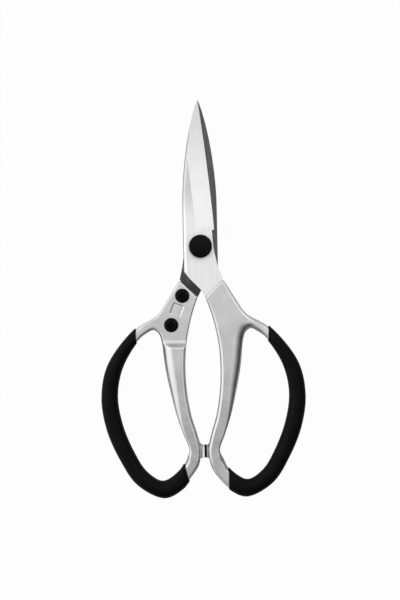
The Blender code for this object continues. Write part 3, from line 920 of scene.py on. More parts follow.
@dataclass(frozen=True)
class Face:
    """One face of the handle's section at each station: its height and both edge roundings."""

    half: Array
    outer_round: Array
    hole_round: Array
    hole_depth: Array
    crease: Array

    def between(self, other: Face, share: Array) -> Face:
        """Face whose sizes lie a share of the way to another face."""
        return Face(*(getattr(self, part.name) * (1 - share) + getattr(other, part.name) * share
                      for part in fields(self)))

    def grid(self, s: Stations, inset: Array) -> tuple[Array, Array, Array]:
        """Points across each station, close together where the edges are rounded.

        On a rounding of width a they lie at a (1 - cos t) from the silhouette, for even
        steps of t; the face between the roundings is divided evenly.

        Args:
            s: The stations.
            inset: Distance of the section from the silhouette.

        Returns:
            The points, and their distances from the outer edge and from the finger hole.
        """
        width = np.linalg.norm(s.outer - s.hole, axis=1) - 2 * inset
        share = self.fitting(width)
        turn = 1 - np.cos(np.radians(np.linspace(0, 90, OUTER_POINTS)))
        near = (self.outer_round * share)[:, None] * turn
        turn = 1 - np.cos(np.radians(np.linspace(90, 0, HOLE_POINTS)))
        far = (self.hole_round * share)[:, None] * turn
        rim = s.outer[:, None] + s.outer_normals[:, None] * (inset[:, None] + near)[..., None]
        brink = s.hole[:, None] + s.hole_normals[:, None] * (inset[:, None] + far)[..., None]
        part = np.linspace(0, 1, LEVEL_PARTS + 1)[1:-1]
        middle = rim[:, -1:] + (brink[:, :1] - rim[:, -1:]) * part[:, None]
        span = near[:, -1:] + (width[:, None] - far[:, :1] - near[:, -1:]) * part
        from_outer = np.hstack([near, span, width[:, None] - far])
        from_hole = np.hstack([width[:, None] - near, width[:, None] - span, far])
        return np.concatenate([rim, middle, brink], axis=1), from_outer, from_hole

    def fitting(self, width: Array) -> Array:
        """Share of their width that both roundings keep where the section is narrow."""
        return np.minimum(1.0, WIDTH_LIMIT * width / (self.outer_round + self.hole_round))

    def height(self, from_outer: Array, from_hole: Array) -> Array:
        """Height of the face at distances from its edges.

        At a distance d from an edge the face lies b (1 - sqrt(1 - (1 - d/a)^2)) below its
        level. On the finger side a share of the drop is spread evenly over the width, which
        leaves a soft crease.

        Args:
            from_outer: Distances from the outer edge, a row for each station.
            from_hole: Distances from the finger hole.

        Returns:
            The heights above the middle.
        """
        share = self.fitting(from_outer[:, 0] + from_hole[:, 0])
        close = np.clip(1 - from_outer / (self.outer_round * share)[:, None], 0.0, 1.0)
        down = np.minimum(self.outer_round, DEPTH_LIMIT * self.half)[:, None]
        drop = down * (1 - np.sqrt(1 - close ** 2))
        close = np.clip(1 - from_hole / (self.hole_round * share)[:, None], 0.0, 1.0)
        down = np.minimum(self.hole_depth, DEPTH_LIMIT * self.half)[:, None]
        crease = self.crease[:, None]
        drop += down * ((1 - crease) * (1 - np.sqrt(1 - close ** 2)) + crease * close)
        return self.half[:, None] - drop


@dataclass
class HandleDesign:
    """Sizes of the handle that both halves and their grips share.

    Places round the handle are counted in knots of the outer edge: 0 at the throat, 9 beside
    the stop, 13 at the bottom of the loop, 17 at its outermost point, 22 where the straight
    shoulder starts and 23 at the plate's corner. The outer edge's third number is the place
    that lies opposite on the finger hole, counted in knots of its own.
    """

    outer_edge: Array = field(default_factory=lambda: np.array((
        (0.0020, -0.0267, -1.40), (0.0031, -0.0296, -1.20), (0.00515, -0.0357, -0.90),
        (0.0069, -0.0426, -0.50), (0.0085, -0.0515, 0.00), (0.00925, -0.0640, 1.00),
        (0.0086, -0.0768, 2.00), (0.0065, -0.0894, 3.00), (0.0037, -0.0988, 4.00),
        (0.0020, -0.1074, 5.00), (0.0034, -0.1156, 5.60), (0.0076, -0.1225, 6.15),
        (0.0122, -0.1278, 6.60), (0.0215, -0.1319, 7.90), (0.0355, -0.1249, 9.00),
        (0.0446, -0.1114, 10.00), (0.0514, -0.0950, 11.00), (0.0537, -0.0779, 12.00),
        (0.0499, -0.0608, 13.00), (0.0350, -0.0421, 14.00), (0.0286, -0.0389, 15.05),
        (0.0236, -0.0359, 15.95), (0.0208, -0.0326, 16.50))))
    finger_hole: Array = field(default_factory=lambda: np.array((
        (0.0211, -0.0515), (0.0197, -0.0640), (0.0171, -0.0768), (0.0140, -0.0894),
        (0.0108, -0.0988), (0.0080, -0.1072), (0.0103, -0.1126), (0.0143, -0.1182),
        (0.0223, -0.1228), (0.0306, -0.1177), (0.0370, -0.1074), (0.0428, -0.0926),
        (0.0450, -0.0776), (0.0422, -0.0634), (0.0345, -0.0503), (0.0284, -0.0446),
        (0.0254, -0.0435), (0.0228, -0.0454), (0.0216, -0.0484))))
    plate_corner: Array = field(default_factory=lambda: np.array((0.0114, -0.0173)))
    plate_corner_place: float = 17.35                      # opposite it on the finger hole
    corner_places: tuple[float, float] = (0.12, 0.06)      # that both corners take up there
    plate_corner_radius: float = 0.0013
    throat_corner_radius: float = 0.0012
    corner_points: int = 9
    step: float = 0.0007                                   # between two stations
    fine_step: float = 0.0002                              # the same between two knots
    fine_knots: tuple[float, float] = (3.45, 4.35)
    crowded: float = 0.4                                   # of a fine step, too near to keep

    half: float = 0.0053
    plate_half: float = 0.0030
    seat_half: float = 0.0030
    strut_half: float = 0.0024
    stop_branch_half: float = 0.0041
    grip_half: float = 0.0048

    grip_low: float = 12.0                                 # the grip's ends ...
    grip_high: float = 19.0
    low_end: float = 12.7                                  # ... and where it is full thick
    high_end: float = 18.7
    lip_ease: tuple[float, float] = (1.5, 1.0)             # knots in which the inset fades
    across_ease: tuple[float, float] = (2.0, 0.5)          # knots in which sections turn
    grip_wall: float = 0.0017
    grip_lip: float = 0.0004
    sleeve_gap: float = 0.00035
    branch_full_to: float = 5.0
    stop_place: float = 9.5
    shoulder_full_from: float = 22.2
    shoulder_foot: float = 0.0352
    shoulder_top: float = 0.0228
    step_foot: float = -0.0489
    step_hollow: float = 0.0036
    step_slope: float = math.radians(40)
    step_crown: float = 0.0006
    step_ease: float = 0.003

    edge_round: float = 0.0018
    throat_round_to: float = 1.6
    shoulder_round: tuple[float, float] = (21.4, 22.5)
    seat_round_from: float = 22.95
    throat_round: float = 0.0011
    seat_round: float = 0.0012
    strut_round: float = 0.0020
    finger_round: float = 0.0050
    finger_depth: float = 0.0044
    finger_narrow: Stops = ((4.8, 1.0), (8.3, 0.24), (9.2, 0.24), (11.0, 0.56), (12.0, 1.0))
    shoulder_finger: Stops = ((20.2, 0.08), (21.4, 0.50), (22.8, 1.0))
    shoulder_deep: Stops = ((19.1, 0.0), (19.8, 0.55), (21.4, 0.9), (22.8, 1.0))
    crease: float = 0.14
    plate_edge_round: float = 0.0010
    plate_finger_round: float = 0.0015
    sleeve_finger_round: float = 0.0035

    def curve_knots(self) -> Array:
        """Places of the stations on the curved part of the outer edge.

        Returns:
            The places in knots, from behind the throat's rounded corner to the shoulder.
        """
        edge, throat = self.outer_edge[:, :2], self.outer_edge[0, :2]
        numbers = np.arange(len(edge))
        gaps = np.linalg.norm(np.diff(edge, axis=0), axis=1)
        along = np.concatenate([[0.0], np.cumsum(gaps)])
        pace = np.linspace(0.0, along[-1], round(along[-1] / self.step))
        low, high = np.interp(self.fine_knots, numbers, along)
        pace = np.unique(np.concatenate([pace, np.arange(low, high, self.fine_step)]))
        keep = np.concatenate([[True], np.diff(pace) > self.crowded * self.fine_step])
        pace = pace[keep]
        opening = math.acos(float(unit(self.plate_corner - throat) @ unit(edge[1] - throat)))
        pace = pace[pace > self.throat_corner_radius / math.tan(opening / 2)]
        return np.interp(pace, along, numbers)

    def stations(self) -> Stations:
        """Stations from the throat round the loop, over the shoulder and along the seat.

        Both lines are smooth curves through their knots. The outer one ends in the straight
        shoulder, an arc round the plate's corner, the straight seat and an arc at the throat.

        Returns:
            The stations, closer together where the step of the lowered plate runs.
        """
        spline = self.outer_edge
        last = len(spline) - 1
        edge = spline[:, :2]
        throat, shoulder, corner = edge[0], edge[-1], self.plate_corner
        knots = self.curve_knots()
        lead = np.vstack([edge, shoulder + (corner - shoulder) / 3])
        curve = smooth_line(lead, knots, False)
        places = np.interp(knots, np.arange(last + 1), spline[:, 2])

        around = len(self.finger_hole) + spline[0, 2]
        start = self.plate_corner_place
        past, before = start + self.corner_places[0], around - self.corner_places[1]
        turn = self.corner_points
        corner_turn = corner_arc(shoulder, corner, throat, self.plate_corner_radius, turn)
        throat_turn = corner_arc(corner, throat, curve[0], self.throat_corner_radius, turn)
        straight = resample(np.stack([shoulder, corner_turn[0]]), self.step)[1:-1]
        seat = resample(np.stack([corner_turn[-1], throat_turn[0]]), self.step)[1:-1]
        runs = (
            (curve, knots, places),
            (straight, np.linspace(last, last + 1, len(straight) + 2)[1:-1],
             np.linspace(spline[-1, 2], start, len(straight) + 2)[1:-1]),
            (corner_turn, np.full(turn, last + 1.0), np.linspace(start, past, turn)),
            (seat, np.full(len(seat), last + 1.5),
             np.linspace(past, before, len(seat) + 2)[1:-1]),
            (throat_turn, np.zeros(turn), np.linspace(before, around, turn)),
        )
        outer = np.vstack([run[0] for run in runs])
        knots = np.concatenate([run[1] for run in runs])
        hole = smooth_line(self.finger_hole, np.concatenate([run[2] for run in runs]), True)
        square_outer, square_hole = inward(outer), -inward(hole)
        far, near = self.across_ease
        strut = ramp(knots, ((self.grip_low - far, 0), (self.grip_low - near, 1),
                             (self.grip_high + near, 1), (self.grip_high + far, 0)))[:, None]
        across = unit(hole - outer)
        return Stations(knots, outer, hole, square_outer * (1 - strut) + across * strut,
                        square_hole * (1 - strut) - across * strut)

    def casting_inset(self, knot: Array) -> Array:
        """How far the casting lies inside the silhouette, which the grip makes where it is."""
        lip = self.grip_lip + self.sleeve_gap
        wall = self.grip_wall + self.sleeve_gap
        before, after = self.lip_ease
        return ramp(knot, ((self.grip_low - before, 0.0), (self.grip_low, lip),
                           (self.low_end, wall), (self.high_end, wall), (self.grip_high, lip),
                           (self.grip_high + after, 0.0)))

    def casting_half(self, knot: Array) -> Array:
        """Half the thickness of the casting on its smooth side."""
        return ramp(knot, ((self.branch_full_to, self.half),
                           (self.stop_place, self.stop_branch_half),
                           (self.grip_low, self.seat_half), (self.low_end, self.strut_half),
                           (self.high_end, self.strut_half), (self.grip_high, self.seat_half),
                           (self.shoulder_full_from, self.half)))

    def shoulder(self, knot: Array, x: Array, half: Array) -> Array:
        """What a height on the shoulder adds to its station's, so that it depends on x alone."""
        level = ramp(-x, ((-self.shoulder_foot, self.seat_half), (-self.shoulder_top, self.half)))
        return np.where((knot > self.grip_high)[:, None], level - half[:, None], 0.0)

    def rise(self, y: Array) -> Array:
        """How far the face has risen above the lowered plate at a height y on the handle.

        From the foot of the step a hollow arc of radius R lifts by R - sqrt(R^2 - d^2) over
        the run d, up to its steepest slope, which then goes on as a straight line.

        Args:
            y: Heights on the handle, smaller further down.

        Returns:
            How far the face has risen there.
        """
        run = np.maximum(self.step_foot - y, 0.0)
        bend = self.step_hollow * math.sin(self.step_slope)
        bent = np.minimum(run, bend)
        lift = self.step_hollow - np.sqrt(self.step_hollow ** 2 - bent ** 2)
        return lift + (run - bent) * math.tan(self.step_slope)

    def faces(self, knot: Array, grow: float) -> tuple[Face, Face]:
        """The two faces of the casting.

        Args:
            knot: Places round the handle.
            grow: How far the faces lie outside the casting's own.

        Returns:
            The smooth face and the lowered plate's.
        """
        half = self.casting_half(knot) + grow
        full_from, full_to = self.shoulder_round
        edge = grow + ramp(knot, (
            (0.0, self.throat_round), (self.throat_round_to, self.edge_round),
            (self.stop_place, self.edge_round), (self.grip_low, self.strut_round),
            (self.grip_high + self.lip_ease[1], self.strut_round), (full_from, self.edge_round),
            (full_to, self.edge_round), (self.seat_round_from, self.seat_round)))
        share = ramp(knot, ((self.stop_place, 1.0), (self.low_end, 0.0), (self.grip_high, 0.0),
                            *self.shoulder_finger))
        deep = np.maximum(share, ramp(knot, self.shoulder_deep))
        narrow = ramp(knot, self.finger_narrow)

        def to_hole(full: float, part: Array = share) -> Array:
            """Rounding towards the finger hole, down to the strut's inside the grip."""
            return grow + self.strut_round + (full * narrow - self.strut_round) * part

        smooth = Face(half, edge, to_hole(self.finger_round), to_hole(self.finger_depth, deep),
                      self.crease * share)
        plate = np.full_like(half, self.plate_half + grow)
        plate_edge = np.minimum(edge, self.plate_edge_round + grow)
        low = Face(plate, plate_edge, to_hole(self.plate_finger_round),
                   to_hole(self.plate_finger_round), np.zeros_like(half))
        return smooth, low

    def casting_rings(self, s: Stations, grow: float = 0.0) -> Array:
        """Rings round the casting, or round the bore that is left for it in a grip.

        On the side of the screw heads the surface is the lower one of the smooth face and of
        the plate with its rising step. Where two heights a and b differ by less than k, the
        lower one gives way by (k - |a - b|)^2 / 4k, which rounds the line where they meet.

        Args:
            s: The stations.
            grow: Gap that is left round the casting.

        Returns:
            One ring of points for each station.
        """
        smooth, plate = self.faces(s.knots, grow)
        inset = self.casting_inset(s.knots) - grow
        spots, from_outer, from_hole = smooth.grid(s, inset)
        sunk = self.shoulder(s.knots, spots[..., 0], smooth.half - grow)
        top = np.dstack([spots, smooth.height(from_outer, from_hole) + sunk])

        spots, from_outer, from_hole = smooth.between(plate, self.lowered(s)).grid(s, inset)
        sunk = self.shoulder(s.knots, spots[..., 0], smooth.half - grow)
        a = smooth.height(from_outer, from_hole) + sunk
        b = plate.height(from_outer, from_hole) + self.rise(spots[..., 1])
        give = np.maximum(self.step_crown - np.abs(a - b), 0.0) ** 2 / (4 * self.step_crown)
        low = np.dstack([spots, -(np.minimum(a, b) - give)])
        return np.concatenate([top, low[:, ::-1]], axis=1)

    def lowered(self, s: Stations) -> Array:
        """Share of the lowered plate at each station: 1 above the step, 0 below it."""
        y = np.maximum(s.outer[:, 1], s.hole[:, 1])
        return ramp(-y, ((-self.step_foot, 1.0), (self.step_ease - self.step_foot, 0.0)))

    def grip_rings(self, s: Stations) -> Array:
        """Rings round the outside of a grip, which follow the casting at its ends.

        Args:
            s: The stations that the grip covers.

        Returns:
            One ring of points for each station.
        """
        knot = s.knots
        lip = self.sleeve_gap + self.grip_lip
        full = ramp(knot, ((self.grip_low, 0.0), (self.low_end, 1.0), (self.high_end, 1.0),
                           (self.grip_high, 0.0)))
        plate = ramp(knot, ((self.stop_place, 1.0), (self.low_end, 0.0)))
        finger = self.strut_round + (self.sleeve_finger_round - self.strut_round) * plate
        half = (self.seat_half + lip) * (1 - full) + self.grip_half * full
        edge = (self.strut_round + lip) * (1 - full) + self.grip_half * full
        hole = (finger + lip) * (1 - full) + self.grip_half * full
        face = Face(half, edge, hole, hole, np.zeros_like(knot))
        spots, from_outer, from_hole = face.grid(s, np.zeros_like(knot))
        top = np.dstack([spots, face.height(from_outer, from_hole)])
        return np.concatenate([top, top[:, ::-1] * np.array((1.0, 1.0, -1.0))], axis=1)


@dataclass
class Screws:
    """Places and sizes of the two screws that hold the tang in a handle."""

    top: Array = field(default_factory=lambda: np.array((0.01006, -0.0257)))
    spacing: float = 0.0164
    lean: float = math.radians(21.8)
    shank: float = 0.0019                      # radius
    head: float = 0.00375                      # radius
    head_height: float = 0.0019
    skin: float = 0.0007                       # metal that is left over the screw's end
    tang_half: float = 0.0033
    tang_past: float = 0.0046                  # how far the tang runs past the lower screw
    end_taper: float = 0.3                     # of the shank's radius
    rim_share: float = 0.34                    # of the head's height that stands upright
    dome_end: float = math.radians(72)
    dome_points: int = 13
    cross_width: float = 0.0011
    cross_length: float = 0.0042
    cross_depth: float = 0.0011
    cross_draft: float = 0.45                  # size of the cross at its bottom
    cross_lift: float = 0.0005                 # how far its cutter stands over the head
    cross_flare: float = 1.02                  # size of the cutter up there

    @property
    def down(self) -> Array:
        """Direction from the upper screw to the lower one."""
        return np.array((math.sin(self.lean), -math.cos(self.lean)))

    def places(self) -> tuple[Array, Array]:
        """Centres of the two screws."""
        return self.top, self.top + self.down * self.spacing

    def strip(self, half: float, past: float, out: float) -> Array:
        """Corners of a strip along the screws.

        Args:
            half: Half its width.
            past: How far it runs past the lower screw.
            out: How far it runs past the upper one.

        Returns:
            The four corners, from the upper end of one side round to that of the other.
        """
        top, low = self.places()
        side = np.array((-self.down[1], self.down[0])) * half
        start, end = top - self.down * out, low + self.down * past
        return np.stack([start - side, end - side, end + side, start + side])

    def profile(self, tip: float, under: float) -> list[tuple[float, float]]:
        """Radius and height down a screw: tapered end, shank, flat seat and domed head.

        The rim stands upright for a share q of the head's height h. Above it the dome is an
        ellipse: radius R cos t, height h (q + (1 - q) sin t).

        Args:
            tip: Height of the shank's end.
            under: Height of the flat under the head.

        Returns:
            Rows of radius and height.
        """
        rim, taper = self.rim_share, self.shank * self.end_taper
        dome = [(self.head * math.cos(t),
                 under - self.head_height * (rim + (1 - rim) * math.sin(t)))
                for t in np.linspace(0, self.dome_end, self.dome_points)]
        return [(self.shank - taper, tip), (self.shank, tip - taper), (self.shank, under),
                (self.head - BREAK, under), (self.head, under - BREAK), *dome]

    def build(self, side: Side, label: str, spot: Array, finish: Material,
              half: float, plate: float) -> None:
        """Make one tang screw with its tapered cross recess.

        Args:
            side: Half of the shears that it belongs to.
            label: "upper" or "lower".
            spot: Its centre.
            finish: Its material.
            half: Half the thickness of the casting.
            plate: Level of the lowered plate under its head.
        """
        tip, under = half - self.skin - TOUCH, -plate - TOUCH
        top = under - self.head_height
        a, b = self.cross_length / 2, self.cross_width / 2
        cross = np.array([(a, -b), (a, b), (b, b), (b, a), (-b, a), (-b, b),
                          (-a, b), (-a, -b), (-b, -b), (-b, -a), (b, -a), (b, -b)])
        rings = [np.column_stack([cross * size, np.full(len(cross), z)]) for size, z in
                 ((self.cross_draft, top + self.cross_depth), (1.0, top),
                  (self.cross_flare, top - self.cross_lift))]
        place = (*spot, 0.0)
        screw = Skin.lathe(self.profile(tip, under)).moved(place)
        tool = Skin.over(np.stack(rings)).moved(place)
        name = f"{side.value}_screw_{label}"
        mesh = carved(screw, side, name + "_head", [(Cut.REMOVE, tool)])
        add_piece(mesh, side.body, [finish], name)


@dataclass
class StopLug:
    """Lug on the inner branch that stops the handles, and the pad in the right one."""

    top: float = -0.1044
    bottom: float = -0.1110
    half: float = 0.0030                       # of its thickness, at its end
    left_slope: float = 0.60                   # how fast it gets thinner towards its root
    right_slope: float = 1.1
    deepest: float = 0.0016                    # how much thinner it gets at most
    fillet: float = 0.0040                     # height of the hollow on its upper side
    edge: float = 0.0030                       # where that ends
    root: float = 0.0048                       # where the lug ends inside the branch
    hollow_points: int = 12
    rounding: float = 0.0003                   # of its lower side
    lean: float = 0.0008                       # how far its upper side drops at the faces
    waist: float = 0.38                        # share of its thickness before it drops
    left_face: float = 0.00045                 # how far the left lug's end lies back
    pad_thickness: float = 0.0013
    seat: float = 0.00003                      # gap between the pad and the right lug
    stem: float = 0.0010                       # radius
    stem_length: float = 0.0020
    stem_sides: int = 32

    @property
    def pad_faces(self) -> tuple[float, float]:
        """Where the pad's faces lie in the right half's design: near the left lug and far."""
        near = TOUCH - self.left_face
        return near, near + self.pad_thickness

    @property
    def centre(self) -> Array:
        """Middle of the pad's stem on the plane between the halves."""
        return np.array((0.0, (self.top + self.bottom) / 2, 0.0))

    def face(self, side: Side) -> float:
        """How far the lug's end lies from the middle, on its own half's design."""
        return self.left_face if side is Side.LEFT else self.seat + self.pad_faces[1]

    def skin(self, side: Side) -> Skin:
        """Lug as a row of upright sections from its end to its root.

        Its upper side is a hollow quarter ellipse: at the distance r cos t from the end it
        stands f (1 - sin t) over the top. The faces fall outwards, and the upper side leans in
        towards them.

        Args:
            side: Half of the shears that it belongs to.

        Returns:
            The lug's skin.
        """
        face, ease = self.face(side), self.rounding
        turn = np.linspace(math.pi / 2, 0.0, self.hollow_points)
        along = np.append(face + (self.edge - face) * np.cos(turn), self.root)
        upper = self.top + self.fillet * (1 - np.append(np.sin(turn), 0.0))
        slope = self.left_slope if side is Side.LEFT else self.right_slope
        half = self.half - np.minimum(slope * (along - face), self.deepest)
        foot, waist = np.full_like(half, self.bottom), half * self.waist
        corners = ((foot + ease, half), (upper - self.lean, half), (upper, waist),
                   (upper, -waist), (upper - self.lean, -half), (foot + ease, -half),
                   (foot, ease - half), (foot, half - ease))
        return Skin.over(np.stack([np.column_stack([along, y, z]) for y, z in corners], axis=1))

    def rod(self, radius: float, start: float, end: float) -> Skin:
        """Round rod along X through the lug's centre, from one distance to another."""
        rod = Skin.lathe([(radius, start), (radius, end)], self.stem_sides)
        return Skin(rod.points[:, (2, 0, 1)] + self.centre, rod.quads, rod.ends)

    def slab(self) -> Skin:
        """Pad without its stem: a slab whose edges are broken.

        Returns:
            The slab's skin.
        """
        near, far = self.pad_faces
        low, high = self.bottom + TOUCH, self.top
        rings = []
        for z, inset in ((-self.half, BREAK), (BREAK - self.half, 0.0),
                         (self.half - BREAK, 0.0), (self.half, BREAK)):
            rings.append([(near + inset, low + inset, z), (far - inset, low + inset, z),
                          (far - inset, high - inset, z), (near + inset, high - inset, z)])
        return Skin.over(np.array(rings))

    def build_pad(self, finish: Material) -> None:
        """Make the pad, which sits in the right handle.

        Args:
            finish: Its material.
        """
        far = self.pad_faces[1]
        stem = self.rod(self.stem, far - BREAK, far + self.stem_length)
        mesh = carved(self.slab(), Side.RIGHT, "stop_buffer_pad", [(Cut.JOIN, stem)])
        add_piece(mesh, Side.RIGHT.body, [finish], "stop_buffer")

    def socket(self) -> Skin:
        """Bore in the right lug for the pad's stem."""
        near, far = self.pad_faces
        return self.rod(self.stem + TOUCH, near, far + self.stem_length + TOUCH)


@dataclass
class Handle:
    """One cast handle with its lug, lowered plate, recess, tang pocket and screw holes."""

    side: Side
    design: HandleDesign
    screws: Screws
    lug: StopLug
    blade_low: float
    blade_high: float
    recess_width: float = 0.0065
    recess_length: float = 0.0069
    recess_radius: float = 0.0011
    recess_depth: float = 0.0004
    recess_shift: float = -0.0002              # from the middle between the screws, downwards
    recess_draft: float = 0.0007               # how far its walls lean in
    recess_points: int = 7                     # round each corner

    def recess(self) -> Skin:
        """Cutter for the shallow rounded recess between the screws, with drafted walls.

        Returns:
            The cutter's skin.
        """
        top, low = self.screws.places()
        down = self.screws.down
        across = np.array((-down[1], down[0]))
        middle = (top + low) / 2 + down * self.recess_shift
        plate = self.design.plate_half
        rings = []
        for grow, z in ((-self.recess_draft, plate - self.recess_depth), (0.0, plate),
                        (0.0, self.design.half + TOUCH)):
            length, width = self.recess_length / 2 + grow, self.recess_width / 2 + grow
            corners = np.array([middle + down * a * length + across * b * width
                                for a, b in ((-1, -1), (1, -1), (1, 1), (-1, 1))])
            rim = np.vstack([corner_arc(corners[i - 1], corners[i], corners[(i + 1) % 4],
                                        self.recess_radius + grow, self.recess_points)
                             for i in range(4)])
            rings.append(np.column_stack([rim, np.full(len(rim), -z)]))
        return Skin.over(np.stack(rings))

    def build(self, finish: Material) -> None:
        """Make the casting: join its lug, then cut the pocket, the recess and the bores.

        Args:
            finish: Its material.
        """
        design, screws = self.design, self.screws
        body = Skin.over(design.casting_rings(design.stations()), closed=True)
        strip = screws.strip(screws.tang_half + FIT, screws.tang_past + TOUCH, screws.spacing)
        pocket = Skin.prism(strip, self.blade_low - TOUCH, self.blade_high + TOUCH)
        bore = screws.shank + TOUCH
        hole = Skin.lathe([(bore, -design.half - CLEAR), (bore, design.half - screws.skin)],
                          COARSE_ROUND)
        holes = [hole.moved((*spot, 0.0)) for spot in screws.places()]
        if self.side is Side.RIGHT:
            holes.append(self.lug.socket())
        steps = [(Cut.JOIN, self.lug.skin(self.side)), (Cut.REMOVE, pocket.plus(self.recess())),
                 (Cut.REMOVE, holes[0].plus(*holes[1:]))]
        name = f"{self.side.value}_handle"
        mesh = carved(body, self.side, name + "_casting", steps)
        add_piece(mesh, self.side.body, [finish], name)


@dataclass
class Grip:
    """Rubber sleeve round the outer part of a finger loop."""

    side: Side
    design: HandleDesign

    def build(self, finish: Material) -> None:
        """Make the sleeve: its outer rings, then the bore's rings back to the start.

        Args:
            finish: Its material.
        """
        design, stations = self.design, self.design.stations()
        part = stations.where((stations.knots >= design.grip_low)
                              & (stations.knots <= design.grip_high))
        outer = design.grip_rings(part)
        bore = design.casting_rings(part, FIT)
        skin = Skin.over(np.concatenate([outer, bore[::-1]]), closed=True).on(self.side)
        name = f"{self.side.value}_grip"
        add_piece(skin.mesh(name + "_sleeve"), self.side.body, [finish], name)


# ---- Blade ------------------------------------------------------------------------------------


@dataclass
class Blade:
    """One blade: rounded spine, ground bevel, lapped inner face, heel and tang."""

    side: Side
    node: str
    design: HandleDesign
    screws: Screws
    low: float
    high: float
    tip: float = 0.0771
    tip_turn: float = 0.03                     # angle in radians at the spine's first point
    tip_round_share: float = 0.3               # of the reach that its rounding may take
    point_break: float = 0.000004
    spine_half: float = 0.00905
    spine_straight_to: float = 0.0210
    spine_power: float = 1.8
    spine_roundness: float = 0.82
    spine_round: float = 0.0018
    heel_corner: float = -0.0137
    heel_turn: float = 0.0030
    heel_end: Spots = ((0.0001, -0.0231), (0.0010, -0.0248))
    heel_fade: float = 0.0035                  # run in which the spine's rounding ends
    front_flank: Spots = ((0.0091, -0.0109), (0.0071, -0.0017))
    rear_flank: Spots = ((0.0099, -0.0109), (0.00935, -0.0070), (0.0080, -0.0005))
    notch: float = 0.0012                      # step between the flank and the edge
    edge_end: float = 0.0088
    edge_reach: float = 0.0074
    edge_bulge: float = 0.28
    edge_break: float = 0.00012
    edge_last: float = 0.995                   # share of the way to the tip
    edge_round_share: float = 0.2
    grind_start: tuple[float, float] = (-0.0022, 0.0091)
    grind_higher: tuple[float, float] = (-0.0057, 0.0454)
    grind_angle: float = math.radians(14.3)
    grind_sag: float = 0.0003
    grind_half: float = 0.0045

    spine_points: int = 70
    edge_points: int = 60
    flank_points: int = 40
    heel_points: int = 9
    heel_step: float = 0.0008
    round_points: int = 11
    grind_points: int = 48
    bevel_crease: float = 12.0                 # degrees
    plane_tolerance: float = 0.0005
    level_from: float = 0.99                   # of the normal's Z, on a level face

    def spine(self) -> list[Run]:
        """Tip and spine, down to where the spine is straight.

        The spine's reach is w (1 - u^p)^q with u the share of the height above its straight
        part.

        Returns:
            The runs of the outline.
        """
        u = np.cos(np.linspace(self.tip_turn, math.pi / 2, self.spine_points))
        y = self.spine_straight_to + (self.tip - self.spine_straight_to) * u
        reach = self.spine_half * (1 - u ** self.spine_power) ** self.spine_roundness
        return [(np.array([(0.0, self.tip)]), np.array([self.point_break])),
                (np.column_stack([-reach, y]),
                 np.minimum(self.spine_round, self.tip_round_share * reach))]

    def heel(self) -> list[Run]:
        """Rounded corner of the heel and the diagonal below it, whose rounding runs out.

        Returns:
            The runs of the outline.
        """
        start, end = np.array((-self.spine_half, self.spine_straight_to)), self.heel_end[0]
        corner = np.array((-self.spine_half, self.heel_corner))
        turn = corner_arc(start, corner, end, self.heel_turn, self.heel_points)
        diagonal = resample(np.stack([turn[-1], end]), self.heel_step)[1:]
        far = np.linalg.norm(diagonal - turn[-1], axis=1)
        fade = ramp(far, ((0.0, self.spine_round), (self.heel_fade, self.edge_break)))
        return [(turn, np.full(len(turn), self.spine_round)), (diagonal, fade)]

    def tang(self) -> Array:
        """Seat on the handle, with the tang that leaves it in the middle.

        Returns:
            The points of the outline, from the end of the heel to the corner of the plate.
        """
        throat, corner = self.design.outer_edge[0, :2], self.design.plate_corner
        line = unit(corner - throat)
        off = np.array((-line[1], line[0])) * FIT
        start, end = throat + off, corner + off
        strip = self.screws.strip(self.screws.tang_half, self.screws.tang_past, 0.0)

        def crossing(a: Array, b: Array) -> Array:
            """Where the line through two points meets the seat."""
            along, other = b - a, end - start
            beside = np.array((other[1], -other[0]))
            return a - along * ((a - start) @ beside) / (along @ beside)

        return np.stack([self.heel_end[1], start, crossing(strip[0], strip[1]), strip[1],
                         strip[2], crossing(strip[3], strip[2]), end])

    def flank(self, start: Array) -> Array:
        """Smooth line from the plate's corner up to the notch at the end of the edge.

        Args:
            start: Point at the plate's corner, which isn't repeated.

        Returns:
            The points of the outline.
        """
        middle = self.rear_flank if self.side is Side.LEFT else self.front_flank
        end = (self.edge_reach - self.notch, self.edge_end - self.notch / 2)
        knots = np.array((start, *middle, end))
        places = np.linspace(0, len(knots) - 1, self.flank_points)
        return smooth_line(knots, places, False)[1:]

    def edge(self) -> Run:
        """Cutting edge up to the tip.

        Its reach is r (1 - v) (1 + b v) with v the share of the height above its lower end.

        Returns:
            The last run of the outline.
        """
        v = np.append(np.linspace(0.0, 1.0, self.edge_points)[:-1], self.edge_last)
        reach = self.edge_reach * (1 - v) * (1 + self.edge_bulge * v)
        points = np.column_stack([reach, self.edge_end + (self.tip - self.edge_end) * v])
        return points, np.minimum(self.edge_break / 2, self.edge_round_share * reach)

    def outline(self) -> Run:
        """Closed outline from the tip down the spine, round the tang and up the edge.

        Returns:
            The points, and the rounding of the upper edge at each of them.
        """
        tang = self.tang()
        side = np.vstack([tang, self.flank(tang[-1])])
        runs = [*self.spine(), *self.heel(), (side, np.full(len(side), self.edge_break)),
                self.edge()]
        return np.vstack([run[0] for run in runs]), np.concatenate([run[1] for run in runs])

    def body(self) -> Skin:
        """Blade before grinding: a plate whose upper edge is a quarter circle at each point.

        Returns:
            The plate's skin.
        """
        points, rounding = self.outline()
        normals = inward(points)
        small = np.minimum(self.edge_break / 2, rounding)
        rings = [np.column_stack([points + normals * small[:, None],
                                  np.full(len(points), self.low)]),
                 np.column_stack([points, self.low + small])]
        for angle in np.radians(np.linspace(0, 90, self.round_points)):
            spot = points + normals * (rounding * (1 - math.cos(angle)))[:, None]
            rings.append(np.column_stack([spot, self.high - rounding * (1 - math.sin(angle))]))
        return Skin.over(np.stack(rings))

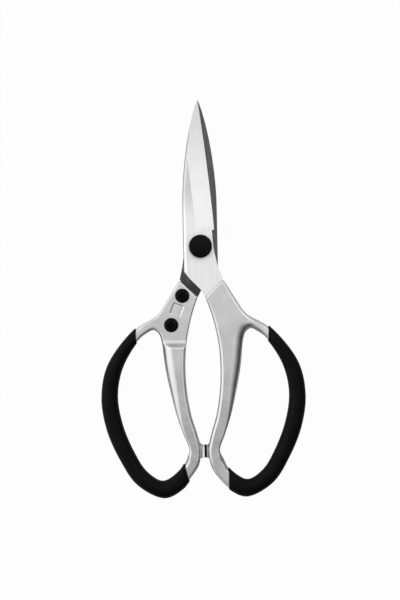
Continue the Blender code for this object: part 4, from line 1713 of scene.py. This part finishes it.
    def grinding(self) -> Skin:
        """What the wheel takes off: all above a plane that falls by tan(angle) times the run.

        The wheel leaves the blade on a slightly curved line. It stands g s^2 back, where s is
        the distance from the line's middle as a share of half its width.

        Returns:
            The skin of what is taken off.
        """
        start, higher = np.array(self.grind_start), np.array(self.grind_higher)
        up = unit(higher - start)
        across = np.array((up[1], -up[0]))
        wide = 2 * self.spine_half
        lift = self.high + wide * math.tan(self.grind_angle) + CLEAR
        rings = []
        for v in np.linspace(-wide, wide, self.grind_points):
            level = self.high - v * math.tan(self.grind_angle)
            sag = self.grind_sag * (max(v, 0.0) / self.grind_half - 1) ** 2
            near = start + across * v + up * sag
            far = start + across * v + up * self.tip
            rings.append([(*near, level), (*far, level), (*far, lift), (*near, lift)])
        return Skin.over(np.array(rings))

    def build(self, bore: Skin, finishes: Finishes) -> None:
        """Make the blade: grind it, drill its tang and bore, and give each face its finish.

        Args:
            bore: Opening for the pivot.
            finishes: Materials for the brushed face, the ground bevel and the inside, whose dark
                colour is a painted reflection.
        """
        drill = self.screws.shank + TOUCH
        hole = Skin.lathe([(drill, -TOUCH), (drill, self.high + TOUCH)], COARSE_ROUND)
        holes = [hole.moved((*spot, 0.0)) for spot in self.screws.places()]
        steps = [(Cut.REMOVE, self.grinding()), (Cut.REMOVE, bore.plus(*holes))]
        mesh = carved(self.body(), self.side, self.node + "_ground", steps)
        count = len(mesh.polygons)
        normals, centres = np.empty(count * 3, np.float32), np.empty(count * 3, np.float32)
        mesh.polygons.foreach_get("normal", normals)
        mesh.polygons.foreach_get("center", centres)
        up = np.abs(normals.reshape(-1, 3)[:, 2])
        from_slide = np.abs(centres.reshape(-1, 3)[:, 2] - SLIDE_PLANE)
        ground = np.isclose(up, math.cos(self.grind_angle), atol=self.plane_tolerance)
        inside = (up > self.level_from) & (from_slide < (self.low + self.high) / 4)
        look = np.where(inside, Look.INSIDE, np.where(ground, Look.BEVEL, Look.BRUSHED))
        mesh.polygons.foreach_set("material_index", look.astype(np.int32))
        looks = [finishes.blade_face, finishes.blade_bevel, finishes.blade_inside]
        add_piece(mesh, self.side.body, looks, self.node, self.bevel_crease)


# ---- Pivot ------------------------------------------------------------------------------------


@dataclass
class Pivot:
    """Bolt, spring washer, nut and cap on the pivot's axis."""

    low: float
    high: float
    shank: float = 0.0025                      # radius
    running: float = 0.00015                   # gap round it in the front blade
    square: float = 0.0031                     # half the width of the square neck
    head: float = 0.0060                       # radius
    head_bevel: float = 0.0006
    head_level: float = 0.0012                 # width of the ring inside the bevel
    past_nut: float = 0.0002
    washer_radius: float = 0.0044
    washer_thickness: float = 0.0004
    washer_cone: float = 0.0002
    nut_half: float = 0.0040                   # half the width across its flats
    nut_height: float = 0.0020
    cap_radius: float = 0.00605
    cap_roof: float = 0.0007                   # thickness
    cap_crown: float = 0.0008
    cap_edge: float = 0.0009                   # radius of the rounding at its rim
    edge_end: float = math.radians(78)         # where that goes over into the crown
    roof_span: tuple[float, float] = (0.3, 0.98)       # shares of the inner radius
    crown_span: tuple[float, float] = (0.97, 0.02)     # shares of the radius at the rounding
    arc_points: int = 9
    crown_rings: int = 20
    bore_sides: int = 64
    cap_sides: int = 128

    def bores(self) -> tuple[Skin, Skin]:
        """Openings for the bolt.

        Returns:
            The round bore of the front blade and the square bore of the rear blade.
        """
        size = self.shank + self.running
        round_bore = Skin.lathe([(size, -TOUCH), (size, self.high + TOUCH)], self.bore_sides)
        size = self.square + TOUCH
        square_bore = Skin.lathe([(size, -TOUCH), (size, self.high + TOUCH)], self.bore_sides,
                                 (4, 4))
        return round_bore, square_bore

    @property
    def bolt_end(self) -> float:
        """Top of the bolt above the slide plane."""
        stack = self.washer_cone + self.washer_thickness + self.nut_height + self.past_nut
        return self.high + 2 * TOUCH + stack

    def bolt(self) -> Skin:
        """Bolt from its bevelled head through the square neck to the end of its shank.

        Returns:
            The bolt's skin.
        """
        under = -self.high - TOUCH
        bevel = self.head_bevel
        arc = [(self.head - bevel * (1 - math.sin(t)), -SLIDE_PLANE + bevel * (1 - math.cos(t)))
               for t in np.radians(np.linspace(0, 90, self.arc_points))]
        rows = [(self.head - bevel - self.head_level, -SLIDE_PLANE), *arc, (self.head, under),
                (self.square, under), (self.square, -self.low), (self.shank, -self.low),
                (self.shank, self.bolt_end - self.past_nut),
                (self.shank - self.past_nut, self.bolt_end)]
        corners = [4 if radius == self.square else 0 for radius, _ in rows]
        return Skin.lathe(rows, corners=corners)

    def cap(self) -> Skin:
        """Domed cap: straight skirt, quarter-round edge and a crown of height c (1 - s^2).

        Returns:
            The cap's skin.
        """
        inner = max(self.nut_half / math.cos(math.pi / 6), self.washer_radius) + TOUCH
        skirt, roof = self.high + TOUCH, self.bolt_end + TOUCH
        eaves = roof + self.cap_roof - self.cap_crown / 2
        edge = self.cap_edge
        arc = [(self.cap_radius - edge * (1 - math.cos(t)), eaves - edge * (1 - math.sin(t)))
               for t in np.linspace(0, self.edge_end, self.arc_points)]
        rim, height = arc[-1]
        crown = [(rim * s, height + (eaves + self.cap_crown / 2 - height) * (1 - s * s))
                 for s in np.linspace(*self.crown_span, self.crown_rings)]
        rows = [*((inner * s, roof) for s in self.roof_span), (inner, roof - BREAK),
                (inner, skirt), (self.cap_radius - BREAK, skirt),
                (self.cap_radius, skirt + BREAK), *arc, *crown]
        return Skin.lathe(rows, self.cap_sides)

    def build(self, finishes: Finishes) -> None:
        """Make the bolt and the cap, and finish the nut and washer of the frame.

        Args:
            finishes: Materials, of which it takes the black ones and the zinc.
        """
        lift = (0.0, 0.0, SLIDE_PLANE)
        body = Side.LEFT.body
        add_piece(self.bolt().moved(lift).mesh("pivot_bolt_turned"), body,
                  [finishes.black_steel], "pivot_bolt")
        add_piece(self.cap().moved(lift).mesh("pivot_cap_domed"), body,
                  [finishes.plastic], "pivot_cap")
        for node in ("spring_washer", "pivot_nut"):
            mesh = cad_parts[node].data
            mesh.materials.clear()
            mesh.materials.append(finishes.zinc)
            LOG.info("%s: finish of the frame's own node", node)


# ---- Studio -----------------------------------------------------------------------------------


@dataclass(frozen=True)
class Softbox:
    """Rectangular lamp that faces a point of the object."""

    name: str
    place: tuple[float, float, float]
    size: tuple[float, float]
    radiance: float
    aim: tuple[float, float, float] = (0.0, -0.03, 0.0)

    def build(self) -> None:
        """Make the lamp; its power is radiance times pi times its area."""
        lamp = bpy.data.lights.new(self.name, "AREA")
        lamp.shape = "RECTANGLE"
        lamp.size, lamp.size_y = self.size
        lamp.energy = self.radiance * math.pi * self.size[0] * self.size[1]
        made = linked(self.name, lamp)
        place = np.array(self.place)
        toward = unit(np.array(self.aim) - place)
        tilt = math.acos(float(-toward[2]))
        heading = math.atan2(toward[0], -toward[1])
        made.location = self.place
        made.rotation_euler = (tilt, 0.0, heading + math.pi)
        made.visible_glossy = False


@dataclass(frozen=True)
class Tent:
    """Dome of cloth over the table that only reflections see, paler here and darker there.

    Its points are (R sin t cos a, R sin t sin a, R cos t). The glow is blended in straight
    lines between the rows, which are angles t from the zenith, and between the columns, which
    are directions a at even steps, counted from +X towards +Y.
    """

    radius: float = 1.3
    middle: tuple[float, float] = (0.0, -0.03)
    top_angle: float = 0.5
    rings: int = 19
    columns: int = 32
    angles: tuple[float, ...] = (0.0, 6.0, 12.0, 22.0, 34.0, 48.0, 66.0, 90.0)
    levels: tuple[tuple[float, ...], ...] = (
        (0.78, 0.78, 0.78, 0.78, 0.78, 0.78, 0.78, 0.78),
        (0.84, 0.86, 0.88, 0.82, 0.70, 0.42, 0.30, 0.54),
        (0.94, 1.02, 0.97, 0.92, 0.82, 0.44, 0.38, 0.56),
        (0.98, 1.30, 1.08, 1.10, 1.12, 0.44, 0.38, 0.56),
        (0.80, 1.60, 0.88, 1.24, 1.42, 0.52, 0.34, 0.48),
        (0.48, 1.50, 0.66, 1.26, 1.60, 0.62, 0.20, 0.32),
        (0.12, 0.85, 0.50, 1.08, 1.40, 0.66, 0.05, 0.08),
        (0.05, 0.50, 0.45, 0.92, 1.20, 0.62, 0.03, 0.04),
    )

    def glow(self, t: Array, a: Array) -> Array:
        """Glow of the cloth.

        Args:
            t: Angles from the zenith in degrees.
            a: Angles from +X in degrees.

        Returns:
            The glow there.
        """
        table = np.array(self.levels)
        row = np.interp(t, self.angles, np.arange(len(self.angles)))
        low = np.minimum(row.astype(int), len(self.angles) - 2)
        down = row - low
        column = a / 360 * table.shape[1]
        left = column.astype(int)
        along = column - left
        left, right = left % table.shape[1], (left + 1) % table.shape[1]
        upper = table[low, left] * (1 - along) + table[low, right] * along
        lower = table[low + 1, left] * (1 - along) + table[low + 1, right] * along
        return upper * (1 - down) + lower * down

    def mesh(self) -> bpy.types.Mesh:
        """The dome, closed at its top by a small flat face.

        Returns:
            The mesh, with its glow at every point.
        """
        rings, columns = self.rings, self.columns
        t, a = np.meshgrid(np.linspace(self.top_angle, 90.0, rings),
                           360 * np.arange(columns) / columns, indexing="ij")
        sin_t = np.sin(np.radians(t))
        points = self.radius * np.stack([sin_t * np.cos(np.radians(a)),
                                         sin_t * np.sin(np.radians(a)),
                                         np.cos(np.radians(t))], axis=-1)
        points += np.array((*self.middle, 0.0))
        i, k = np.meshgrid(np.arange(rings - 1), np.arange(columns), indexing="ij")
        after = (k + 1) % columns
        faces = np.stack([i * columns + k, i * columns + after,
                          (i + 1) * columns + after, (i + 1) * columns + k], axis=-1)
        made = bpy.data.meshes.new("tent")
        made.from_pydata(points.reshape(-1, 3).tolist(), [],
                         faces.reshape(-1, 4).tolist() + [list(range(columns))])
        glow = self.glow(t.ravel(), a.ravel()).astype(np.float32)
        made.attributes.new("glow", "FLOAT", "POINT").data.foreach_set("value", glow)
        return made


@dataclass
class Studio:
    """Floor, pale surroundings, a tent that the metal mirrors, lamps and camera."""

    white: float = 1.0
    fill: float = 0.16
    floor_white: float = 0.97
    floor_mirrored: float = 0.08
    floor_colour: float = 0.86
    floor_half: float = 3.0
    floor_below: float = 0.0002
    near_clip: float = 0.01
    lens: float = 85.0
    long_side: float = 0.3154
    sensor: float = 36.0
    object_plane: float = 0.0060
    aim: tuple[float, float] = (-0.0008, -0.0281)
    lean: float = -0.0211
    tent: Tent = Tent()
    lamps: tuple[Softbox, ...] = (
        Softbox("softbox_left", (-0.98, 0.70, 0.62), (1.3, 1.0), 4.6),
        Softbox("softbox_right", (0.72, 0.30, 0.86), (0.55, 1.0), 0.5),
        Softbox("softbox_back", (0.0, 1.05, 0.85), (1.2, 0.5), 0.9),
        Softbox("softbox_front", (-0.1, -1.05, 0.9), (1.0, 0.4), 0.4),
    )

    def surroundings(self) -> None:
        """World that the camera and reflections see white, and that fills the shadows."""
        world = bpy.data.worlds.new("studio")
        world.use_nodes = True
        nodes = Nodes(world.node_tree)
        seen = nodes.math("MAXIMUM", *self.rays(nodes))
        fill = nodes.add("Background", Color=grey(1.0), Strength=self.fill)
        white = nodes.add("Background", Color=grey(1.0), Strength=self.white)
        mix = nodes.add("MixShader", i0=seen, i1=fill.outputs[0], i2=white.outputs[0])
        nodes.add("OutputWorld", Surface=mix.outputs[0])
        world.cycles.sampling_method = "NONE"
        bpy.context.scene.world = world

    @staticmethod
    def rays(nodes: Nodes) -> tuple[Socket, Socket]:
        """Shares that are 1 for camera rays, and for rays that are mirrored or pass through."""
        path = nodes.add("LightPath").outputs
        other = nodes.math("MAXIMUM", path["Is Glossy Ray"], path["Is Transmission Ray"])
        return path["Is Camera Ray"], other

    def floor(self) -> None:
        """Pale floor that stays nearly white and keeps a soft shadow."""
        finish, nodes = material("floor_white")
        camera, other = self.rays(nodes)
        share = nodes.math("MULTIPLY_ADD", camera, self.floor_white,
                           nodes.math("MULTIPLY", other, self.floor_mirrored))
        plain = nodes.add("BsdfDiffuse", Color=grey(self.floor_colour))
        glow = nodes.add("Emission", Color=grey(1.0), Strength=self.white)
        mix = nodes.add("MixShader", i0=share, i1=plain.outputs[0], i2=glow.outputs[0])
        nodes.add("OutputMaterial", Surface=mix.outputs[0])
        corners = np.array([(-1, -1), (1, -1), (1, 1), (-1, 1)]) * self.floor_half
        mesh = bpy.data.meshes.new("floor")
        mesh.from_pydata([(x, y, -self.floor_below) for x, y in corners], [], [(0, 1, 2, 3)])
        mesh.materials.append(finish)
        self.stand(mesh)

    @staticmethod
    def stand(mesh: bpy.types.Mesh) -> bpy.types.Object:
        """Add a mesh to the scene.

        Args:
            mesh: The mesh.

        Returns:
            Its object.
        """
        made = linked(mesh.name, mesh)
        return made

    def cover(self) -> None:
        """Tent over the table."""
        finish, nodes = material("tent_cloth")
        glow = nodes.add("Attribute", attribute_name="glow").outputs["Fac"]
        cloth = nodes.add("Emission", Color=grey(1.0), Strength=glow)
        nodes.add("OutputMaterial", Surface=cloth.outputs[0])
        finish.cycles.emission_sampling = "NONE"
        mesh = self.tent.mesh()
        mesh.materials.append(finish)
        tent = self.stand(mesh)
        tent.visible_camera = tent.visible_diffuse = tent.visible_shadow = False

    def camera(self) -> None:
        """Camera straight above, as far up as its lens needs for the photograph's frame."""
        seen = bpy.data.cameras.new("camera")
        seen.sensor_width, seen.lens = self.sensor, self.lens
        seen.clip_start = self.near_clip
        made = linked("camera", seen)
        made.location = (*self.aim, self.object_plane + self.long_side * self.lens / self.sensor)
        made.rotation_euler = (0.0, 0.0, self.lean)
        bpy.context.scene.camera = made

    def build(self) -> None:
        """Set up everything round the object."""
        self.surroundings()
        self.floor()
        self.cover()
        for lamp in self.lamps:
            lamp.build()
        self.camera()
        bpy.context.scene.view_settings.view_transform = "Standard"
        LOG.info("studio: %d lamps", len(self.lamps))


def main() -> None:
    """Build the shears half by half, then the pivot and the studio."""
    logging.basicConfig(level=logging.INFO, format="%(message)s")
    finishes = Finishes()
    low = TOUCH / 2
    high = low + BLADE_THICKNESS
    right = HandleDesign()
    longer_grip = HandleDesign(grip_low=11.1, low_end=11.8)
    screws, lug = Screws(), StopLug()
    pivot = Pivot(low, high)
    round_bore, square_bore = pivot.bores()
    for side, design, node, bore in ((Side.LEFT, longer_grip, "rear_blade", square_bore),
                                     (Side.RIGHT, right, "front_blade", round_bore)):
        Handle(side, design, screws, lug, low, high).build(finishes.casting)
        Grip(side, design).build(finishes.rubber)
        Blade(side, node, design, screws, low, high).build(bore, finishes)
        for label, spot in zip(("upper", "lower"), screws.places()):
            screws.build(side, label, spot, finishes.black_steel, design.half, design.plate_half)
    lug.build_pad(finishes.plastic)
    pivot.build(finishes)
    Studio().build()


if __name__ == "__main__":
    main()
